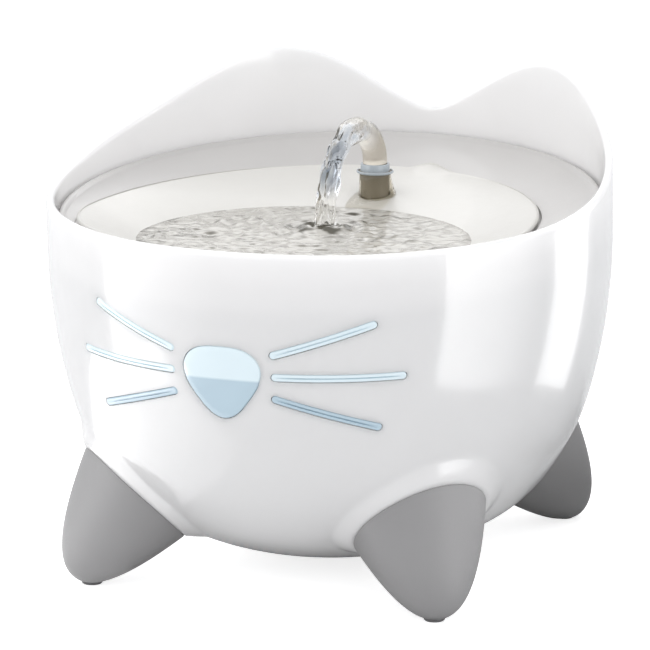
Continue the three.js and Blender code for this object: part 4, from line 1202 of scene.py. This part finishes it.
class FOUNTAIN_OT_spout(bpy.types.Operator):
    """Make the flanged spout"""

    bl_idname = "fountain.spout"
    bl_label = "Spout"

    def execute(self, context):
        r, b = UPSTAND_RADIUS, UPSTAND_BORE
        under, over = FLANGE_HEIGHT - FLANGE_THICK, FLANGE_HEIGHT
        f, top = FLANGE_RADIUS, UPSTAND_TOP
        rows = [
            (b, STEM_BOTTOM), (r - 0.0002, STEM_BOTTOM), (r, STEM_BOTTOM + 0.0002), (r, under - 0.0004),
            (r + 0.0004, under), (f - 0.0004, under), (f, under + 0.0004), (f, over - 0.0004),
            (f - 0.0003, over), (f - 0.0007, over - 0.0001), (f - 0.0009, over - 0.0007),
            (r + 0.0002, over - 0.0007), (r, over - 0.0002), (r, over + 0.0003), (r - 0.0001, top - 0.0005),
            (r - 0.0004, top), (b + 0.0003, top), (b, top - 0.0004),
        ]
        spout = lathe("spout", rows, (0, SPOUT_FROM_AXIS), 96, 35, closed=True)
        dress(spout, "spout_plastic", "spout", "spout_nozzle")
        # Painted shade: the stem below the flange and the groove in the flange take the dark olive material
        # in place of the shadow there
        spout.data.materials.append(MATERIALS["stem_plastic"])
        for face in spout.data.polygons:
            reach = math.hypot(face.center.x, face.center.y - SPOUT_FROM_AXIS - FRAME_SHIFT[1])
            in_groove = r < reach < FLANGE_RADIUS - 0.0006 and over - 0.0009 < face.center.z < over - 0.0003
            if face.center.z < under - 0.0002 or in_groove:
                face.material_index = 1
        return {"FINISHED"}


SUNK = 0.0005
SKIRT_BOTTOM = 0.1544
INNER_SHARE = 0.93
FILM_HALF = 0.112
FILM_THICK = 0.0009
RING_WAVE = 0.0095
POOL_ROUND = 480
POOL_UNDER_SHARES = (1.97, 1.8, 1.6, 1.4, 1.2, 1.1, 1.04, 1.0)
CHOP_WAVES = 26
CHOP_LENGTHS = (0.0045, 0.015)
CHOP_SLOPE = 0.045


def seeded_waves():
    """Plane waves from all sides: two wave numbers, a phase and a size in ripple heights."""
    draw = np.random.default_rng(7)
    made = []
    for _ in range(CHOP_WAVES):
        length, phase = draw.uniform(*CHOP_LENGTHS), draw.uniform(0, TURN)
        way = draw.uniform(0, TURN)
        number = TURN / length
        size = CHOP_SLOPE / number / sizes().ripple_height
        made.append((number * math.cos(way), number * math.sin(way), phase, size))
    return made


# Folds of the falling water: size, waves round it, turn along it and phase
STREAM_FOLDS = [
    (0.15, 2, 2.4 * math.pi, 0), (0.08, 5, -7.2 * math.pi, 0), (0.04, 3, 40, 0), (0.03, 9, 25, -math.pi / 2),
    (0.05, 0, 34, -math.pi / 2),
]
LANDING_Y = -0.0187
STREAM_REACH = 0.0654
STREAM_RISE = 0.0215
STREAM_RINGS = 220
# Width of the falling water along its arc, and the arc itself as shares of its reach and rise
STREAM_WIDTHS = [(0, 1), (0.3, 1), (0.46, 1.02), (0.6, 0.84), (0.78, 0.76), (1, 0.7)]
STREAM_SHARES = [
    (0, 0.02), (0.004, 0.153), (0.026, 0.315), (0.079, 0.513), (0.193, 0.753), (0.377, 0.93), (0.597, 0.881),
    (0.744, 0.661), (0.851, 0.444), (0.908, 0.181), (0.955, -0.095), (0.985, -0.418), (1, -0.78),
]


def stream_path(count):
    """Points and directions along the middle of the water's arc."""
    shares = np.array(STREAM_SHARES, float)
    points = np.array([SPOUT_FROM_AXIS, UPSTAND_TOP]) + np.array([-STREAM_REACH, STREAM_RISE]) * shares
    run = np.concatenate([[0], np.cumsum(np.sqrt(np.linalg.norm(np.diff(points, axis=0), axis=1)))])
    bell = softened(lambda x: np.stack([np.interp(x, run, points[:, k]) for k in (0, 1)], -1), run[-1] * 0.02)
    path = bell(np.linspace(0, run[-1], count))
    path[0], path[-1] = points[0], points[-1]
    centre = np.column_stack([np.zeros(count), path])
    along = np.gradient(centre, axis=0)
    along /= np.linalg.norm(along, axis=1)[:, None]
    return centre, along


class FOUNTAIN_OT_water(bpy.types.Operator):
    """Make the arc of water and the rippled pool"""

    bl_idname = "fountain.water"
    bl_label = "Water"

    def execute(self, context):
        self.stream()
        self.pool()
        return {"FINISHED"}

    def stream(self):
        centre, along = stream_path(STREAM_RINGS)
        turns = around(96)
        wide = through(STREAM_WIDTHS)
        side = np.array([1.0, 0, 0])
        rings = []
        for i, share in enumerate(np.linspace(0, 1, STREAM_RINGS)):
            other = np.cross(along[i], side)
            grow = smooth_step((share - 0.36) / 0.2)
            waves = [size * np.cos(n * turns + run * share + phase) for size, n, run, phase in STREAM_FOLDS]
            folds = grow * sum(waves) + 0.006 * np.cos(7 * turns)
            radius = sizes().stream_radius * wide(share) * 0.97 * (1 + folds)
            out = (radius * np.cos(turns))[:, None] * side + (radius * np.sin(turns))[:, None] * other
            rings.append(centre[i] + out)
        stream = oriented(ring_mesh("stream", rings, sharp_degrees=80))
        stream.visible_shadow = False
        dress(stream, "water", "spout", "water_stream", finish="stream")

    def pool(self):
        s = sizes()
        t = around(POOL_ROUND)
        waves = seeded_waves()
        top = []
        for share in np.linspace(1, 0.004, 170):
            x, y = pool_edge(t)
            x, y = x * share, POOL_CENTRE_Y + (y - POOL_CENTRE_Y) * share
            top.append(np.stack([x, y, s.pool_height + self.ripple(x, y, share, waves)], -1))
        under = [dish_point(t, share, -SUNK) for share in POOL_UNDER_SHARES]
        pool = oriented(ring_mesh("pool", under + top, sharp_degrees=80))
        pool.visible_shadow = False
        dress(pool, "water", "dish", "water_pool")
        for made in (self.film(), self.skirt()):
            made.visible_shadow = False
            dress(made, "water", "dish", "water_pool", finish="film")

    def ripple(self, x, y, share, waves):
        """Rings round the landing place, a small splash there, and waves from all sides."""
        away = np.hypot(x, y - LANDING_Y)
        fade = smooth_step((1 - share) / 0.06)
        rings = 0.9 * np.cos(away * TURN / RING_WAVE) * np.exp(-away / 0.036)
        chop = sum(size * np.sin(kx * x + ky * y + phase) for kx, ky, phase, size in waves)
        angle = np.arctan2(x, y - LANDING_Y)
        crown = 1 + 0.35 * np.cos(5 * angle) + 0.25 * np.cos(9 * angle + 1)
        splash = 1.9 * np.exp(-((away - 0.0075) / 0.0024) ** 2) * crown + 2.6 * np.exp(-((away / 0.005) ** 2))
        return sizes().ripple_height * (fade * (rings + chop) + splash)

    def film(self):
        """The thin sheet of water that runs from the spout's foot down to the pool."""
        rings = []
        for share in np.linspace(0.66, 0.998, 24):
            half = FILM_HALF * (1 + 0.16 * math.sin(9 * share))
            across = np.linspace(-1, 1, 33)
            turn = math.pi - across * half
            base = dish_point(turn, share, -SUNK)
            thick = FILM_THICK * (1 - across**6) * (1 + 0.3 * np.cos(across * 7 + 12 * share))
            thick *= smooth_step((1.002 - share) / 0.03) * 0.7 + 0.3
            above = base + np.array([0, 0, 1]) * (SUNK + thick)[:, None]
            rings.append(np.concatenate([base, above[::-1][1:-1]]))
        return oriented(ring_mesh("film", rings, sharp_degrees=80))

    def skirt(self):
        """Water running down round the spout's stem, wider at the camera's right."""
        turns = around(72)
        right = np.cos(turns - CAMERA_TURN)
        top = FLANGE_HEIGHT - FLANGE_THICK - 0.0003
        rings = []
        for share in np.linspace(0, 1, 12):
            radius = UPSTAND_RADIUS + 0.0004 + (0.0006 + 0.0024 * (1 + right) / 2) * share**1.3
            radius = radius * (1 + 0.03 * share * np.cos(6 * turns + 1))
            x, y = radius * np.cos(turns), SPOUT_FROM_AXIS + radius * np.sin(turns)
            bottom = SKIRT_BOTTOM + 0.2 * (y - SPOUT_FROM_AXIS) - SUNK
            rings.append(np.stack([x, y, top + (bottom - top) * share], -1))
        stem = np.array([0, SPOUT_FROM_AXIS, 0])
        inner = [(ring - stem) * [INNER_SHARE, INNER_SHARE, 1] + stem for ring in rings]
        return oriented(ring_mesh("skirt", rings + inner[::-1], closed=True, sharp_degrees=80))


# Pieces kept from the solids, by finish
KEPT = {
    "hose_rubber": ["riser_tube"],
    "pump_plastic": ["pump_body", "pump_cover", "power_socket", "lead_clip"],
    "white_plastic": ["flow_slider", "impeller", "socket_nut"],
    "steel": ["impeller_shaft"],
    "cup_rubber": ["pump_cup_1", "pump_cup_2", "pump_cup_3", "pump_cup_4"],
    "basket_plastic": ["filter_holder"],
    "foam": ["filter_pad"],
    "lead_rubber": ["pump_lead"],
}


class FOUNTAIN_OT_inner_works(bpy.types.Operator):
    """Finish the pump, hose, filter, socket and lead, whose solids are shown"""

    bl_idname = "fountain.inner_works"
    bl_label = "Pump, filter and fittings"

    def execute(self, context):
        for slot_name, names in KEPT.items():
            for name in names:
                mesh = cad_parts[name].data
                mesh.materials.clear()
                mesh.materials.append(MATERIALS[slot_name])
                smooth(mesh, 35)
        return {"FINISHED"}


# Stage
CAMERA_TURN = math.radians(20.057)
CAMERA_RISE = math.radians(12.885)
CAMERA_ROLL = math.radians(-0.40)
CAMERA_DISTANCE = 2.0315
CAMERA_FOCAL_PIXELS = 4519.03
CAMERA_MIDDLE = (338.61, 353.27)
CAMERA_TARGET = (0.0, 0.0, 0.09)
SENSOR_MM = 36


def around_camera(turn, rise, distance, middle):
    """A place at a turn from the camera toward the right and a rise, both in degrees."""
    a, e = CAMERA_TURN + math.radians(turn), math.radians(rise)
    away = Vector((math.sin(a) * math.cos(e), -math.cos(a) * math.cos(e), math.sin(e)))
    return away * distance + Vector(middle)


def beside(right, near, height):
    """A place given to the camera's right and toward the camera from the bowl's axis."""
    c, e = math.cos(CAMERA_TURN), math.sin(CAMERA_TURN)
    return Vector((right * c + near * e, right * e - near * c, height))


def flat_board(name, corners, material_name, brightness):
    """A flat, matt board, with its material's tree and shader."""
    mesh = bpy.data.meshes.new(name)
    mesh.from_pydata(corners, [], [(0, 1, 2, 3)])
    made = bpy.data.objects.new(name, mesh)
    bpy.context.scene.collection.objects.link(made)
    material, tree, shader = tree_of(material_name)
    set_inputs(shader, Base_Color=(brightness, brightness, brightness, 1), Roughness=0.9)
    mesh.materials.append(material)
    return made, tree, shader


def shown_to_camera(tree, plain, shown):
    """One shader for the camera and for rays through clear pieces, and a plain one for all other rays."""
    rays = node(tree, "ShaderNodeLightPath")
    seen = node(tree, "ShaderNodeMath", operation="MAXIMUM")
    choose = node(tree, "ShaderNodeMixShader")
    tree.links.new(rays.outputs["Is Camera Ray"], seen.inputs[0])
    tree.links.new(rays.outputs["Is Transmission Ray"], seen.inputs[1])
    tree.links.new(seen.outputs["Value"], choose.inputs["Fac"])
    tree.links.new(plain, choose.inputs[1])
    tree.links.new(shown, choose.inputs[2])
    return choose.outputs["Shader"]


def area_light(name, place, target, width, height, brightness, only_gloss=False, fade=None):
    """Soft box of an even brightness, or one that fades from one side to the other."""
    data = bpy.data.lights.new(name, "AREA")
    data.shape = "RECTANGLE"
    data.size, data.size_y = width, height
    data.energy = brightness * math.pi * width * height
    light = bpy.data.objects.new(name, data)
    light.location = place
    light.rotation_mode = "QUATERNION"
    light.rotation_quaternion = (Vector(target) - place).to_track_quat("-Z", "Y")
    light.visible_camera = False
    if only_gloss:
        light.visible_diffuse = False
        light.visible_transmission = False
    if fade:
        data.use_nodes = True
        tree = data.node_tree
        place_on_light = node(tree, "ShaderNodeNewGeometry").outputs["Parametric"]
        level = part_of(tree, place_on_light, "X", 0.0, 1.0, *fade)
        tree.links.new(level, tree.nodes["Emission"].inputs["Strength"])
    bpy.context.scene.collection.objects.link(light)
    return light


# Soft boxes: turn and rise as seen from the camera, distance, width, height and brightness
SOFT_BOXES = {
    "left_side_box": (-98, 24, 1.4, 1.0, 1.2, 0.95),
    "left_front_box": (-50, 25, 1.4, 1.0, 1.0, 0.08),
    "left_high_box": (-55, 50, 1.4, 1.0, 1.0, 0.25),
    "right_front_box": (45, 30, 1.4, 0.9, 0.9, 0.25),
    "top_box": (-10, 78, 1.4, 1.3, 1.3, 0.42),
}
# Cards: first and last turn from the camera, brightness, and how much of it is left at each side
CARDS = {
    "left_card": (-82, -34, 3.1, (1.0, 0.0)),
    "right_card": (42, 80, 4.0, (1.0, 0.03)),
    "rim_card": (87, 108, 3.0, (1.0, 0.7)),
}
# A card lying on the floor at the left, beside the bowl as the camera sees it
FLOOR_CARD_PLACE = (-0.21, 0.05)
FLOOR_CARD_SIZE = (0.25, 0.25)
FLOOR_CARD_LEVEL = 3.8
FLOOR_CARD_FADE = (1.0, 0.15)
# A card high behind the fountain, seen in the ripples and along the rim
BACK_CARD = (176, 34, 0.75, 0.7, 0.34, 1.5)
# A black flag at the right of the rear foot: place to the camera's right and toward it, length and height
FLAG = (0.175, -0.07, 0.26, 0.085)
CARD_HEIGHT = 0.34
CARD_DISTANCE = 0.27
ABOVE_FLOOR = 0.001
LIGHT_TARGET = (0, 0, 0.1)
BACK_CARD_TARGET = (0, 0, 0.16)
SURROUNDINGS = 0.975


def card(name, first, last, brightness, fade):
    """A bright card on the floor near the bowl, seen only in the gloss, from one turn to another."""
    middle = (0, 0, CARD_HEIGHT / 2)
    place = around_camera((first + last) / 2, 0, CARD_DISTANCE, middle)
    width = 2 * CARD_DISTANCE * math.tan(math.radians(last - first) / 2)
    area_light(name, place, middle, width, CARD_HEIGHT, brightness, True, fade)


class FOUNTAIN_OT_stage(bpy.types.Operator):
    """Set the camera, the soft lights, the floor and the white surroundings"""

    bl_idname = "fountain.stage"
    bl_label = "Stage"

    def execute(self, context):
        self.camera(context.scene)
        self.floor()
        self.world(context.scene)
        for name, (turn, rise, distance, width, height, brightness) in SOFT_BOXES.items():
            place = around_camera(turn, rise, distance, LIGHT_TARGET)
            area_light(name, place, LIGHT_TARGET, width, height, brightness)
        for name, values in CARDS.items():
            card(name, *values)
        turn, rise, distance, width, height, brightness = BACK_CARD
        place = around_camera(turn, rise, distance, BACK_CARD_TARGET)
        area_light("back_card", place, BACK_CARD_TARGET, width, height, brightness, True)
        self.flag()
        place = beside(*FLOOR_CARD_PLACE, ABOVE_FLOOR)
        up = place + Vector((0, 0, 1))
        laid = area_light("floor_card", place, up, *FLOOR_CARD_SIZE, FLOOR_CARD_LEVEL, True, FLOOR_CARD_FADE)
        laid.rotation_quaternion = Quaternion((0, 0, 1), CAMERA_TURN) @ Quaternion((1, 0, 0), math.pi)
        context.scene.view_settings.view_transform = "Standard"
        return {"FINISHED"}

    def flag(self):
        """Keeps light from the right off the rear foot; neither the camera nor the gloss sees it."""
        right, near, length, height = FLAG
        front, back = near + length / 2, near - length / 2
        places = ((back, ABOVE_FLOOR), (front, ABOVE_FLOOR), (front, height), (back, height))
        board, _, _ = flat_board("flag", [beside(right, step, z) for step, z in places], "flag_cloth", 0.02)
        board.visible_camera = board.visible_glossy = board.visible_transmission = False

    def camera(self, scene):
        a, e, r = CAMERA_TURN, CAMERA_RISE, CAMERA_ROLL
        right = Vector((math.cos(a), math.sin(a), 0))
        ahead = Vector((-math.sin(a) * math.cos(e), math.cos(a) * math.cos(e), -math.sin(e)))
        up = right.cross(ahead)
        x_axis = right * math.cos(r) - up * math.sin(r)
        y_axis = right * math.sin(r) + up * math.cos(r)
        data = bpy.data.cameras.new("camera")
        camera = bpy.data.objects.new("camera", data)
        scene.collection.objects.link(camera)
        place = Vector(CAMERA_TARGET) + Vector(FRAME_SHIFT) - ahead * CAMERA_DISTANCE
        turned = Matrix((x_axis, y_axis, -ahead)).transposed()
        camera.matrix_world = Matrix.Translation(place) @ turned.to_4x4()
        data.sensor_width = SENSOR_MM
        data.lens = SENSOR_MM * CAMERA_FOCAL_PIXELS / PHOTO_PIXELS
        data.shift_x = (PHOTO_PIXELS / 2 - CAMERA_MIDDLE[0]) / PHOTO_PIXELS
        data.shift_y = (CAMERA_MIDDLE[1] - PHOTO_PIXELS / 2) / PHOTO_PIXELS
        data.clip_end = 50
        scene.camera = camera

    def floor(self):
        reach = 6.0
        corners = [(-reach, -reach, 0), (reach, -reach, 0), (reach, reach, 0), (-reach, reach, 0)]
        ground, tree, shader = flat_board("floor", corners, "floor", 0.86)
        set_inputs(shader, Specular_IOR_Level=0.1)
        glow = node(tree, "ShaderNodeEmission", Strength=0.75)
        total = node(tree, "ShaderNodeAddShader")
        tree.links.new(shader.outputs["BSDF"], total.inputs[0])
        tree.links.new(glow.outputs["Emission"], total.inputs[1])
        chosen = shown_to_camera(tree, shader.outputs["BSDF"], total.outputs["Shader"])
        tree.links.new(chosen, tree.nodes["Material Output"].inputs["Surface"])

    def world(self, scene):
        world = bpy.data.worlds.new("surroundings")
        scene.world = world
        world.use_nodes = True
        tree = world.node_tree
        shown = tree.nodes["Background"]
        set_inputs(shown, Color=(1, 1, 1, 1), Strength=1.0)
        soft = node(tree, "ShaderNodeBackground", Color=(0.97, 0.98, 1, 1), Strength=SURROUNDINGS)
        chosen = shown_to_camera(tree, soft.outputs["Background"], shown.outputs["Background"])
        tree.links.new(chosen, tree.nodes["World Output"].inputs["Surface"])


class FOUNTAIN_PT_panel(bpy.types.Panel):
    """Steps that build the fountain's looks"""

    bl_label = "Pet water fountain"
    bl_idname = "FOUNTAIN_PT_panel"
    bl_space_type = "VIEW_3D"
    bl_region_type = "UI"
    bl_category = "Fountain"

    def draw(self, context):
        for step in STEPS:
            self.layout.operator(step.bl_idname)
        for group in (context.scene.fountain_sizes, context.scene.fountain_colours):
            box = self.layout.box()
            for key in group.bl_rna.properties.keys():
                if key not in ("rna_type", "name"):
                    box.prop(group, key)


STEPS = (
    FOUNTAIN_OT_materials,
    FOUNTAIN_OT_bowl,
    FOUNTAIN_OT_windows,
    FOUNTAIN_OT_feet,
    FOUNTAIN_OT_tray,
    FOUNTAIN_OT_dish,
    FOUNTAIN_OT_spout,
    FOUNTAIN_OT_water,
    FOUNTAIN_OT_inner_works,
    FOUNTAIN_OT_stage,
)
CLASSES = (FountainSizes, FountainColours, *STEPS, FOUNTAIN_PT_panel)


def register():
    for made in CLASSES:
        bpy.utils.register_class(made)
    bpy.types.Scene.fountain_sizes = bpy.props.PointerProperty(type=FountainSizes)
    bpy.types.Scene.fountain_colours = bpy.props.PointerProperty(type=FountainColours)


def unregister():
    del bpy.types.Scene.fountain_colours
    del bpy.types.Scene.fountain_sizes
    for made in reversed(CLASSES):
        bpy.utils.unregister_class(made)


def main():
    register()
    for step in STEPS:
        group, action = step.bl_idname.split(".")
        getattr(getattr(bpy.ops, group), action)()
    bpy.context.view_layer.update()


if __name__ == "__main__":
    main()
